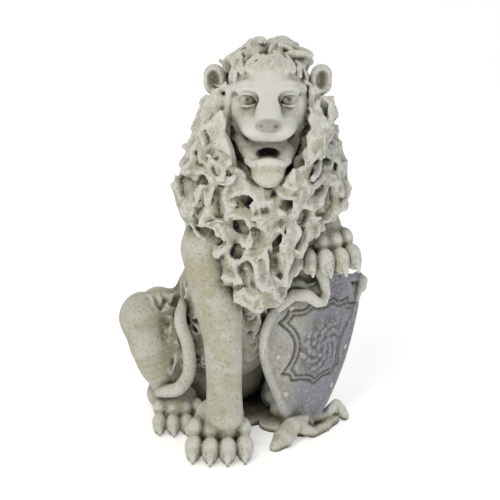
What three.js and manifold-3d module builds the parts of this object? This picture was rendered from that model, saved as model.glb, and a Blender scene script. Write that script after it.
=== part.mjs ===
// A seated garden lion in cast stone, its near forepaw on the ground and the other on a cartouche shield.
// Millimetres, +Z up. The lion's body faces -Y, its left side is +X, and its head is turned to its right.
// The figure is modelled as one field of distances, blended from simple masses, which is then meshed.
import * as THREE from "three";
import { mergeVertices } from "three/addons/utils/BufferGeometryUtils.js";
import Module from "manifold-3d";

// Driving dimensions
const FIGURE_HEIGHT = 740; // ground to the highest curl of the mane
const SHIELD_WIDTH = 226; // across the chord, outside the rim
const SHIELD_HEIGHT = 300; // from its lower point to its top edge
const SHIELD_THICKNESS = 20;
const SHIELD_BOW = 165; // radius of its round face
const RIM_RADIUS = 7; // the raised roll round the edge
const STUD_RADIUS = 5.5;
const FOOT_HEIGHT = 26; // the scrolled foot under the shield's point
const GROUND_THICKNESS = 13; // the low slab under the haunches
const GROUND_LENGTH = 250;
const GROUND_WIDTH = 256;

// How fine the field and the mesh are
const CELL = 6.5;
const FACES = 8900; // before the shield's carving is added
const MARGIN_CELLS = 3; // kept empty round the figure
const NEAR_GROUND = 0.5; // points lower than this lie on the underside

const COLOUR = 0xc9c8b8; // pale weathered cast stone

// The pose is written in millimetres of a figure 740 high and scaled to the height above.
const POSE_HEIGHT = 740;
const scale = FIGURE_HEIGHT / POSE_HEIGHT;
const DEGREE = Math.PI / 180;
const point = (x, y, z) => new THREE.Vector3(x, y, z);
const posed = (x, y, z) => point(x, y, z).multiplyScalar(scale);
const wide = (radii) => radii.map((r) => r * scale);

// A repeatable stand-in for chance: the same whole number always gives the same share from 0 to 1.
const chance = (n) => {
  const s = Math.sin(n * 12.9898 + 4.1414) * 43758.5453;
  return s - Math.floor(s);
};

const FAR = 60; // the distance that stands for empty space

// A field of distances on a regular grid. Shapes are blended into it or carved out of it, each within its own box.
class Field {
  constructor(low, high, cell) {
    this.low = low;
    this.cell = cell;
    this.count = high.clone().sub(low).divideScalar(cell).ceil().addScalar(1);
    this.values = new Float32Array(this.count.x * this.count.y * this.count.z).fill(FAR);
  }

  each(box, reach, change) {
    const { low, cell, count, values } = this;
    const from = (a) => Math.max(0, Math.floor((box.min[a] - reach - low[a]) / cell));
    const to = (a) => Math.min(count[a] - 1, Math.ceil((box.max[a] + reach - low[a]) / cell));
    const [x0, x1, y0, y1, z0, z1] = [from("x"), to("x"), from("y"), to("y"), from("z"), to("z")];
    for (let k = z0; k <= z1; k++) {
      for (let j = y0; j <= y1; j++) {
        for (let i = x0; i <= x1; i++) {
          const at = i + count.x * (j + count.y * k);
          values[at] = change(values[at], low.x + i * cell, low.y + j * cell, low.z + k * cell);
        }
      }
    }
  }

  blend(shape, soft = 1) {
    this.each(shape.box, soft + 2 * this.cell, (old, x, y, z) => softMin(old, shape.distance(x, y, z), soft));
  }

  carve(shape, soft = 1) {
    this.each(shape.box, soft + 2 * this.cell, (old, x, y, z) => -softMin(-old, shape.distance(x, y, z), soft));
  }
}

function softMin(a, b, soft) {
  const h = Math.max(soft - Math.abs(a - b), 0) / soft;
  return Math.min(a, b) - (h * h * soft) / 4;
}

// A ball with three radii, turned by Euler angles in degrees.
function ball(at, radii, turn = [0, 0, 0]) {
  const angles = new THREE.Euler(...turn.map((a) => a * DEGREE));
  const back = new THREE.Matrix4().makeRotationFromEuler(angles).transpose().elements;
  const reach = Math.max(radii.x, radii.y, radii.z);
  const distance = (x, y, z) => {
    const dx = x - at.x;
    const dy = y - at.y;
    const dz = z - at.z;
    const px = (back[0] * dx + back[4] * dy + back[8] * dz) / radii.x;
    const py = (back[1] * dx + back[5] * dy + back[9] * dz) / radii.y;
    const pz = (back[2] * dx + back[6] * dy + back[10] * dz) / radii.z;
    const inside = Math.hypot(px, py, pz);
    const slope = Math.hypot(px / radii.x, py / radii.y, pz / radii.z);
    return slope < 1e-9 ? -reach : (inside * (inside - 1)) / slope;
  };
  return { box: new THREE.Box3(at.clone().subScalar(reach), at.clone().addScalar(reach)), distance };
}

// A tube along a smooth curve through the points, with a radius at each. thin below 1 flattens it along a direction.
function tube(points, radii, { steps = 4, thin = 1, along = point(0, 0, 1) } = {}) {
  const curve = new THREE.CatmullRomCurve3(points, false, "centripetal");
  const last = (points.length - 1) * steps;
  const knots = [];
  for (let i = 0; i <= last; i++) {
    const t = i / last;
    const at = t * (radii.length - 1);
    const left = Math.min(Math.floor(at), radii.length - 2);
    knots.push({ p: curve.getPoint(t), r: THREE.MathUtils.lerp(radii[left], radii[left + 1], at - left) });
  }
  return chain(knots, thin, along);
}

function chain(knots, thin = 1, along = point(0, 0, 1)) {
  const squeeze = 1 / thin - 1;
  const parts = knots.slice(1).map((b, i) => {
    const a = knots[i];
    const d = b.p.clone().sub(a.p);
    return { a: a.p, d, ra: a.r, dr: b.r - a.r, square: Math.max(d.lengthSq(), 1e-9) };
  });
  const box = new THREE.Box3();
  for (const { p, r } of knots) box.expandByPoint(p.clone().addScalar(r)).expandByPoint(p.clone().subScalar(r));
  const distance = (x, y, z) => {
    let best = 1e9;
    for (const { a, d, ra, dr, square } of parts) {
      let qx = x - a.x;
      let qy = y - a.y;
      let qz = z - a.z;
      const t = Math.min(1, Math.max(0, (qx * d.x + qy * d.y + qz * d.z) / square));
      qx -= t * d.x;
      qy -= t * d.y;
      qz -= t * d.z;
      const extra = squeeze * (qx * along.x + qy * along.y + qz * along.z);
      const length = Math.hypot(qx + extra * along.x, qy + extra * along.y, qz + extra * along.z);
      best = Math.min(best, length - ra - t * dr);
    }
    return best;
  };
  return { box, distance };
}

// Body, neck and legs
function bodyMasses() {
  const spine = [[0, 268, 104], [0, 232, 200], [0, 142, 300], [0, 70, 385], [0, 28, 470], [0, 0, 560]];
  return [
    [tube(spine.map((p) => posed(...p)), wide([104, 98, 86, 86, 88, 72])), 20],
    [ball(posed(0, 168, 186), posed(82, 86, 96)), 30],
    [ball(posed(0, -2, 372), posed(84, 66, 96)), 25],
    [tube([posed(-6, 30, 300), posed(4, 58, 232), posed(8, 84, 150)], wide([34, 30, 10])), 12],
    [tube([posed(46, 34, 300), posed(44, 66, 236), posed(38, 88, 176)], wide([34, 28, 10])), 12],
    [ball(posed(0, 270, 92), posed(122, 84, 92)), 25],
  ];
}

function hindLeg(side) {
  const at = (x, y, z) => posed(side * x, y, z);
  return [
    [ball(at(118, 240, 154), posed(56, 98, 100), [22, 0, 0]), 22],
    [ball(at(168, 198, 214), posed(40, 44, 46), [0, -18 * side, 0]), 20],
    [tube([at(172, 190, 214), at(160, 172, 160), at(138, 176, 104), at(118, 200, 62)], wide([34, 36, 28, 25])), 12],
    [tube([at(112, 262, 34), at(112, 200, 36), at(114, 160, 36)], wide([30, 28, 28])), 16],
  ];
}

function foreLeg() {
  const route = [[-86, 36, 372], [-76, 26, 290], [-70, 12, 210], [-70, 6, 130], [-72, -2, 74]];
  return [
    [ball(posed(-80, 44, 396), posed(44, 70, 100), [-14, 0, 0]), 24],
    [tube(route.map((p) => posed(...p)), wide([50, 44, 34, 31, 33])), 14],
    [ball(posed(-82, 62, 262), posed(24, 26, 34)), 18],
  ];
}

// A paw with four toes. heading is in degrees from -Y towards +X; drop lets the toes hang below the wrist.
function paw({ at, heading, size = 1, drop = 0 }) {
  const turn = heading * DEGREE;
  const ahead = point(Math.sin(turn), -Math.cos(turn), 0);
  const aside = point(Math.cos(turn), Math.sin(turn), 0);
  const unit = size * scale;
  const reach = 60;
  const put = (f, s, z) => {
    const fall = drop * scale * Math.max(0, f / reach) ** 1.5;
    return at.clone().addScaledVector(ahead, f * unit).addScaledVector(aside, s * unit).setZ(at.z + z * unit - fall);
  };
  const pad = (place, radii, soft) => {
    return [ball(put(...place), point(...radii).multiplyScalar(unit), [0, 0, heading]), soft];
  };
  const shapes = [pad([4, 0, 34], [44, 46, 34], 14), pad([0, 0, 60], [34, 30, 26], 14)];
  for (const toe of [-1.5, -0.5, 0.5, 1.5]) {
    const short = Math.abs(toe) > 1 ? 10 : 0;
    const side = toe * 27;
    shapes.push(pad([34 - short, side * 0.92, 40], [14.5, 20, 17], 5));
    shapes.push(pad([58 - short, side, 22], [15, 19, 20], 5));
    shapes.push(pad([66 - short, side, 14], [12.5, 13, 14], 4));
    const claw = [put(72 - short, side, 22), put(80 - short, side, 14), put(82 - short, side, 3)];
    shapes.push([tube(claw, wide([5, 5.5, 2.5]).map((r) => r * size)), 2]);
  }
  return shapes;
}

const TAIL = [
  [20, 340, 60], [-50, 350, 34], [-104, 326, 24], [-112, 276, 28], [-126, 218, 48],
  [-138, 164, 74], [-118, 128, 88], [-100, 122, 116], [-100, 124, 170], [-112, 138, 216],
];
const tailShape = () => tube(TAIL.map((p) => posed(...p)), wide([22, 20, 17, 15, 13.5, 13, 13, 12.5, 12, 12]));

function raisedLeg() {
  const wrist = onShield(8, SHIELD_HEIGHT + 22, -44);
  const elbow = posed(118, 84, 340);
  return [
    [ball(posed(84, 44, 396), posed(46, 70, 100), [-14, 0, 0]), 24],
    [tube([posed(88, 40, 390), elbow, posed(132, 60, 344)], wide([50, 38, 34])), 16],
    [tube([elbow, posed(136, 46, 352), wrist], wide([36, 34, 32])), 10],
  ];
}

// The shield stands on its scrolled foot, turned outwards from the body and leaning a little forward.
const SHIELD_TURN = 27; // degrees outwards from -Y
const shieldFoot = point(103, 43, 0);
const shieldUp = point(50, -36, 300).normalize();
const shieldAside = point(Math.cos(SHIELD_TURN * DEGREE), Math.sin(SHIELD_TURN * DEGREE), 0);
shieldAside.addScaledVector(shieldUp, -shieldAside.dot(shieldUp)).normalize();
const shieldFront = shieldAside.clone().cross(shieldUp).normalize();
const shieldBase = shieldFoot.clone().add(point(0, 0, FOOT_HEIGHT));

// A place on the shield: w across its chord, h up from its lower point, d out from its bowed face.
function onShield(w, h, d = 0) {
  const sag = SHIELD_BOW - Math.sqrt(Math.max(SHIELD_BOW ** 2 - w ** 2, 0));
  const foot = shieldBase.clone().addScaledVector(shieldUp, h);
  return foot.addScaledVector(shieldAside, w).addScaledVector(shieldFront, d - sag);
}

// Half the outline from the lower point to the middle of the top edge, as shares of half the width and of the height.
const SHIELD_EDGE = [
  [0.2, 0], [0.42, 0.07], [0.64, 0.2], [0.88, 0.38], [0.97, 0.54], [0.94, 0.68], [0.84, 0.8], [0.86, 0.88],
  [0.7, 0.91], [0.48, 0.85], [0.25, 0.92], [0, 1],
];
const shieldEdge = new THREE.SplineCurve(
  SHIELD_EDGE.map(([w, h]) => new THREE.Vector2((w * SHIELD_WIDTH) / 2, h * SHIELD_HEIGHT)),
);

function shieldPlate() {
  const half = shieldEdge.getPoints(44);
  const outline = [...half, ...half.slice(0, -1).reverse().map((p) => new THREE.Vector2(-p.x, p.y))];
  const box = new THREE.Box3();
  for (const p of outline) {
    box.expandByPoint(onShield(p.x, p.y, 0));
    box.expandByPoint(onShield(p.x, p.y, -SHIELD_THICKNESS));
  }
  box.expandByPoint(onShield(0, SHIELD_HEIGHT / 2, 0));
  const distance = (x, y, z) => {
    const from = point(x, y, z).sub(shieldBase);
    const w = from.dot(shieldAside);
    const h = from.dot(shieldUp);
    const out = Math.hypot(w, from.dot(shieldFront) + SHIELD_BOW) - SHIELD_BOW;
    const through = Math.abs(out + SHIELD_THICKNESS / 2) - SHIELD_THICKNESS / 2;
    const beside = outlineDistance(outline, w, h);
    return Math.max(through, beside);
  };
  return { box, distance };
}

// Signed distance from a flat closed outline, negative inside.
function outlineDistance(outline, x, y) {
  let nearest = 1e9;
  let inside = false;
  for (let i = 0, j = outline.length - 1; i < outline.length; j = i++) {
    const a = outline[i];
    const b = outline[j];
    const ex = b.x - a.x;
    const ey = b.y - a.y;
    const t = Math.min(1, Math.max(0, ((x - a.x) * ex + (y - a.y) * ey) / (ex * ex + ey * ey)));
    nearest = Math.min(nearest, Math.hypot(x - a.x - t * ex, y - a.y - t * ey));
    if (a.y > y !== b.y > y && x < a.x + ((y - a.y) * ex) / ey) inside = !inside;
  }
  return inside ? -nearest : nearest;
}

function shieldRim() {
  const half = shieldEdge.getPoints(40);
  const [inward, proud] = [0.6 * RIM_RADIUS, 0.3 * RIM_RADIUS];
  const roll = (sign) => chain(half.map((p) => ({ p: onShield(sign * (p.x - inward), p.y, proud), r: RIM_RADIUS })));
  return [roll(1), roll(-1)];
}

// The two top corners roll forward into scrolls, and a smaller leaf curls beside each.
function shieldScrolls() {
  const w = 0.79 * (SHIELD_WIDTH / 2);
  const h = 0.86 * SHIELD_HEIGHT;
  const curl = [
    [w * 1.02, h - 26, 2, 9], [w * 1.06, h - 4, 8, 11], [w, h + 12, 18, 11],
    [w * 0.92, h + 6, 28, 9], [w * 0.88, h - 6, 24, 7],
  ];
  const lip = [[w * 0.9, h + 4, 10, 8], [w * 0.7, h + 6, 16, 8], [w * 0.5, h - 8, 16, 7], [w * 0.4, h - 18, 8, 5]];
  const onSide = (knots, sign) => chain(knots.map(([a, b, d, r]) => ({ p: onShield(sign * a, b, d), r })));
  return [1, -1].flatMap((sign) => [onSide(curl, sign), onSide(lip, sign)]);
}

// A dome on the shield's face, as wide, as tall and as proud as given.
function dome(w, h, across, up, proud) {
  const turn = Math.asin(w / SHIELD_BOW);
  const out = shieldFront.clone().multiplyScalar(Math.cos(turn)).addScaledVector(shieldAside, Math.sin(turn));
  const place = new THREE.Matrix4().makeBasis(shieldUp.clone().cross(out), shieldUp, out).setPosition(onShield(w, h));
  return closedSolid(new THREE.SphereGeometry(1, 12, 8).scale(across, up, proud).applyMatrix4(place));
}

// Studs stand round the field, and a medal and a boss stand for its carving.
function shieldCarving() {
  const w = SHIELD_WIDTH / 2;
  const h = SHIELD_HEIGHT;
  const right = [[0.56, 0.2], [0.8, 0.44], [0.76, 0.76]];
  const studs = [[0, 0.04], ...right, ...right.map(([a, b]) => [-a, b])];
  const medal = dome(-0.07 * w, 0.86 * h, 26, 22, 5);
  const boss = dome(0, 0.52 * h, 38, 44, 6);
  return [...studs.map(([a, b]) => dome(a * w, b * h, STUD_RADIUS, STUD_RADIUS, STUD_RADIUS)), medal, boss];
}

// The foot: a leaf that turns left, a volute that turns right and a ribbon along the ground between them.
function shieldFootShapes() {
  const top = FOOT_HEIGHT;
  const strand = (knots) =>
    chain(knots.map(([w, d, z, r]) => {
      const p = shieldFoot.clone().addScaledVector(shieldAside, w).addScaledVector(shieldFront, d).setZ(z);
      return { p, r };
    }));
  return [
    strand([[0, -14, top + 16, 20], [0, -12, top * 0.4, 26]]),
    strand([[-14, 2, top + 6, 13], [-50, 6, top + 4, 17], [-74, 8, top * 0.6, 19], [-98, 10, 6, 11]]),
    strand([[-30, 10, top, 12], [-2, 18, 8, 10], [40, 14, 6, 10], [74, 2, 8, 10]]),
    strand([[20, -6, top, 12], [60, -4, top * 0.7, 10], [86, 4, top + 12, 9], [98, 8, top - 2, 9], [108, 8, 8, 9]]),
  ];
}

// Ground: two low rounded lobes, under the haunches and behind the shield's foot.
function lobe(at, across, along) {
  const top = GROUND_THICKNESS;
  const box = new THREE.Box3(point(at.x - across, at.y - along, -2 * CELL), point(at.x + across, at.y + along, top));
  const distance = (x, y, z) => {
    const far = Math.hypot((x - at.x) / across, (y - at.y) / along);
    const beside = (far - 1) * Math.min(across, along);
    return Math.max(beside, z - top, -CELL - z);
  };
  return { box, distance };
}
const groundLobes = () => [
  lobe(posed(0, 236, 0), GROUND_WIDTH / 2, GROUND_LENGTH / 2),
  lobe(point(shieldFoot.x + 10, shieldFoot.y + 56, 0), 80, 52),
];

// The head looks to the lion's right. a runs to the right as seen from the front, b forwards and c up.
const HEAD_TURN = -20;
const headAt = posed(3, -15, 640);
const headAside = point(Math.cos(HEAD_TURN * DEGREE), Math.sin(HEAD_TURN * DEGREE), 0);
const headAhead = point(Math.sin(HEAD_TURN * DEGREE), -Math.cos(HEAD_TURN * DEGREE), 0);
const onHead = (a, b, c) =>
  headAt.clone().addScaledVector(headAside, a * scale).addScaledVector(headAhead, b * scale).add(posed(0, 0, c));
const headBall = (a, b, c, ra, rb, rc) => ball(onHead(a, b, c), posed(ra, rb, rc), [0, 0, HEAD_TURN]);
const headTube = (list) => chain(list.map(([a, b, c, r]) => ({ p: onHead(a, b, c), r: r * scale })));

function headMasses() {
  const shapes = [
    [headBall(0, -10, 2, 66, 68, 70), 10],
    [headBall(0, 34, 24, 54, 32, 32), 14],
    [headTube([[0, 60, 44, 15], [0, 74, 8, 17], [0, 98, -26, 16]]), 9],
    [headBall(0, 48, -38, 50, 44, 34), 14],
    [headTube([[-15, 110, -33, 8], [0, 117, -34, 9], [15, 110, -33, 8]]), 3],
    [headBall(0, 116, -41, 8, 8, 8), 3],
    [headTube([[0, 30, -104, 26], [0, 64, -122, 24], [0, 80, -124, 19]]), 10],
    [headTube([[-46, 60, -88, 6], [-16, 92, -102, 6], [0, 97, -98, 6], [16, 92, -102, 6], [46, 60, -88, 6]]), 4],
  ];
  for (const side of [-1, 1]) {
    shapes.push(
      [headBall(side * 46, 26, -18, 24, 36, 42), 14],
      [headBall(side * 19, 88, -53, 25, 25, 17), 6],
      [headTube([[side * 12, 70, 16, 10], [side * 34, 66, 20, 10], [side * 56, 42, 12, 8]]), 5],
      [headTube([[side * 50, 20, -60, 14], [side * 48, 48, -82, 10], [side * 36, 70, -100, 8]]), 8],
    );
  }
  return shapes;
}

function headHollows() {
  const shapes = [
    [headTube([[-20, 94, -84, 9], [0, 102, -82, 12], [20, 94, -84, 9]]), 3],
    [headBall(0, 78, -84, 28, 34, 13), 4],
  ];
  for (const side of [-1, 1]) {
    shapes.push(
      [headBall(side * 33, 72, -1, 19, 12, 11), 4],
      [headBall(side * 91, 14, 26, 12, 18, 19), 3],
    );
  }
  return shapes;
}

const EAR = [[76, -8, 2, 12], [88, -4, 20, 20], [90, -6, 34, 18]];
const ears = () => [-1, 1].map((side) => [headTube(EAR.map(([a, b, c, r]) => [side * a, b, c, r])), 5]);
const eyes = () => [-1, 1].map((side) => [headBall(side * 33, 58, -2, 14, 12, 10), 1]);

// The mane: locks rooted on rounded masses round the head and chest, flowing away from the face and down.
const maneBase = [
  [headBall(0, -26, 6, 68, 64, 69), 40],
  [ball(posed(5, 24, 548), posed(122, 82, 88)), 40],
  [ball(posed(5, 18, 474), posed(140, 92, 88)), 40],
  [ball(posed(-2, -16, 374), posed(78, 52, 62), [-16, 0, 0]), 40],
  [ball(posed(-8, -34, 318), posed(44, 36, 42)), 30],
];
const maneDistance = (p) =>
  maneBase.reduce((d, [shape, soft]) => softMin(d, shape.distance(p.x, p.y, p.z), soft * scale), FAR * FAR);

function maneNormal(p) {
  const step = 2;
  const along = (e) => maneDistance(p.clone().add(e)) - maneDistance(p.clone().sub(e));
  return point(along(point(step, 0, 0)), along(point(0, step, 0)), along(point(0, 0, step))).normalize();
}

function settle(p, height) {
  const q = p.clone();
  for (let i = 0; i < 4; i++) q.addScaledVector(maneNormal(q), height - maneDistance(q));
  return q;
}

const LOCKS = 250;
const GOLDEN_ANGLE = Math.PI * (3 - Math.sqrt(5));
const maneCentre = posed(2, 6, 505);
const maneReach = posed(170, 140, 250);
const faceCentre = onHead(0, 70, -30);

function maneRoots() {
  const roots = [];
  for (let i = 0; i < LOCKS; i++) {
    const up = 1 - (2 * (i + 0.5)) / LOCKS;
    const round = Math.sqrt(1 - up * up);
    const angle = i * GOLDEN_ANGLE;
    const start = point(round * Math.cos(angle), round * Math.sin(angle), up).multiply(maneReach).add(maneCentre);
    roots.push(settle(start, 0));
  }
  return roots.filter((p) => !onFace(p));
}

function onFace(p) {
  const from = p.clone().sub(headAt).divideScalar(scale);
  const a = from.dot(headAside);
  const face = (a / 74) ** 2 + ((from.z + 42) / 108) ** 2 < 1;
  const ear = Math.hypot(Math.abs(a) - 88, from.z - 24) < 34;
  return from.dot(headAhead) > -20 && (face || ear);
}

function lockOfHair(root, i, { length = 60, girth = 12.5, lift = 12, fall = 0.85 } = {}) {
  const out = maneNormal(root);
  const flow = root.clone().sub(faceCentre).setLength(0.55).add(point(0, 0, -fall));
  flow.add(point(chance(i) - 0.5, chance(i + 500) - 0.5, 0).multiplyScalar(0.7));
  flow.addScaledVector(out, -flow.dot(out)).normalize();
  const aside = out.clone().cross(flow);
  const long = length * (0.75 + 0.5 * chance(i + 900)) * scale;
  const sway = (chance(i + 1300) < 0.5 ? -1 : 1) * (0.2 + 0.2 * chance(i + 1700)) * long;
  const knots = [];
  for (let k = 0; k <= 6; k++) {
    const t = k / 6;
    const p = root.clone().addScaledVector(flow, (t - 0.25) * long).addScaledVector(aside, sway * Math.sin(4.2 * t));
    const rise = lift * scale * Math.sin(Math.PI * (0.15 + 0.75 * t)) + 8 * scale * t * t;
    const thickness = 0.75 + 0.5 * Math.sin(Math.PI * Math.min(1, t * 1.1)) - 0.35 * t;
    knots.push({ p: settle(p, rise), r: girth * scale * thickness });
  }
  return chain(knots);
}

// Locks spring from the hairline all round the face, shorter over the forehead.
const HAIRLINE_LOCKS = 30;

function hairline() {
  const locks = [];
  for (let i = 0; i < HAIRLINE_LOCKS; i++) {
    const turn = (2 * Math.PI * (i + 0.5)) / HAIRLINE_LOCKS;
    const upper = Math.max(0, Math.cos(turn));
    if (Math.abs(Math.abs(Math.PI - turn) - 1.95) < 0.3) continue; // leaves the ears free
    const root = settle(onHead(78 * Math.sin(turn), 30, -40 + (112 - 14 * upper) * Math.cos(turn)), 4 * scale);
    locks.push(lockOfHair(root, i + 3000, { length: 52 - 12 * upper, girth: 10.5, lift: 10, fall: 0.25 }));
  }
  return locks;
}

const maneLocks = () => [...maneRoots().map((root, i) => lockOfHair(root, i)), ...hairline()];

// Deep drilled pits between the locks.
const PITS = 70;

function manePits() {
  const roots = maneRoots().filter((p) => p.y < 90 * scale);
  const pits = [];
  for (let i = 0; i < PITS; i++) {
    const root = roots[Math.floor(chance(i + 4000) * roots.length)];
    const aside = point(chance(i + 4200) - 0.5, 0, chance(i + 4400) - 0.5).multiplyScalar(40 * scale);
    const size = (8 + 5 * chance(i + 4600)) * scale;
    pits.push(ball(settle(root.clone().add(aside), 10 * scale), point(size, 1.6 * size, size)));
  }
  return pits;
}

// Meshing: each grid cube is cut into six tetrahedra round its long diagonal, and a flat face crosses each of those.
const CUBE = [[0, 0, 0], [1, 0, 0], [1, 1, 0], [0, 1, 0], [0, 0, 1], [1, 0, 1], [1, 1, 1], [0, 1, 1]];
const TETRAHEDRA = [[0, 1, 2, 6], [0, 2, 3, 6], [0, 3, 7, 6], [0, 7, 4, 6], [0, 4, 5, 6], [0, 5, 1, 6]];

function surface(field) {
  const { count, values, low, cell } = field;
  const points = [];
  const faces = [];
  const [right, back, up] = [1, count.x, count.x * count.y];
  const edges = [right, back, up, right + back, right + up, back + up, right + back + up];
  const slots = new Map(edges.map((d, i) => [d, i]));
  const known = new Int32Array(values.length * slots.size).fill(-1);
  const crossing = (s, e) => {
    const [m, n] = s < e ? [s, e] : [e, s];
    const key = m * slots.size + slots.get(n - m);
    if (known[key] < 0) {
      const t = Math.min(0.95, Math.max(0.05, values[m] / (values[m] - values[n])));
      const place = (v, step, size) => Math.floor(v / step) % size;
      const mixed = (step, size) => place(m, step, size) * (1 - t) + place(n, step, size) * t;
      known[key] = points.length / 3;
      points.push(low.x + cell * mixed(right, count.x));
      points.push(low.y + cell * mixed(back, count.y));
      points.push(low.z + cell * mixed(up, count.z));
    }
    return known[key];
  };
  const steps = CUBE.map(([x, y, z]) => x * right + y * back + z * up);
  for (let k = 0; k < count.z - 1; k++) {
    for (let j = 0; j < count.y - 1; j++) {
      for (let i = 0; i < count.x - 1; i++) {
        const first = i + j * back + k * up;
        let inside = 0;
        for (const step of steps) if (values[first + step] < 0) inside++;
        if (inside === 0 || inside === 8) continue;
        for (const tetrahedron of TETRAHEDRA) {
          crossTetrahedron(tetrahedron.map((c) => first + steps[c]), values, crossing, faces);
        }
      }
    }
  }
  return { points, faces };
}

// The corners of each tetrahedron are right-handed, so the parity of the sorting keeps the faces turned outwards.
function crossTetrahedron(corner, values, crossing, faces) {
  const solid = [0, 1, 2, 3].filter((c) => values[corner[c]] < 0);
  const empty = [0, 1, 2, 3].filter((c) => values[corner[c]] >= 0);
  if (solid.length === 0 || empty.length === 0) return;
  const order = [...solid, ...empty];
  let odd = false;
  for (let a = 0; a < 4; a++) for (let b = a + 1; b < 4; b++) if (order[a] > order[b]) odd = !odd;
  const edge = (s, e) => crossing(corner[s], corner[e]);
  const add = (a, b, c) => faces.push(...(odd ? [a, c, b] : [a, b, c]));
  const [p, q, r, s] = order;
  if (solid.length === 1) {
    add(edge(p, q), edge(p, r), edge(p, s));
  } else if (solid.length === 3) {
    add(edge(p, s), edge(q, s), edge(r, s));
  } else {
    add(edge(p, r), edge(p, s), edge(q, s));
    add(edge(p, r), edge(q, s), edge(q, r));
  }
}

// Keeps the one largest skin: what is left out is a speck or a sealed hollow.
function largestSkin({ points, faces }) {
  const parent = Int32Array.from({ length: points.length / 3 }, (_, i) => i);
  const root = (i) => {
    while (parent[i] !== i) {
      parent[i] = parent[parent[i]];
      i = parent[i];
    }
    return i;
  };
  for (let f = 0; f < faces.length; f += 3) {
    parent[root(faces[f])] = root(faces[f + 1]);
    parent[root(faces[f + 1])] = root(faces[f + 2]);
  }
  const sizes = new Map();
  for (let f = 0; f < faces.length; f += 3) {
    const skin = root(faces[f]);
    sizes.set(skin, (sizes.get(skin) ?? 0) + 1);
  }
  const [largest] = [...sizes].sort((a, b) => b[1] - a[1])[0];
  const kept = [];
  for (let f = 0; f < faces.length; f += 3) if (root(faces[f]) === largest) kept.push(...faces.slice(f, f + 3));
  return compact({ points, faces: kept });
}

function compact({ points, faces }) {
  const renamed = new Map();
  const kept = [];
  const renumbered = faces.map((v) => {
    if (!renamed.has(v)) {
      renamed.set(v, kept.length / 3);
      kept.push(points[3 * v], points[3 * v + 1], points[3 * v + 2]);
    }
    return renamed.get(v);
  });
  return { points: kept, faces: renumbered };
}

// Removes edges, cheapest first. Each point keeps a quadric, the sum of squared distances to the planes round it, and
// moves to where that sum is least. Planes on the ground weigh most, so that the underside stays flat, and care says
// how much more than elsewhere a place's detail counts.
const GROUND_WEIGHT = 1000;

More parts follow.
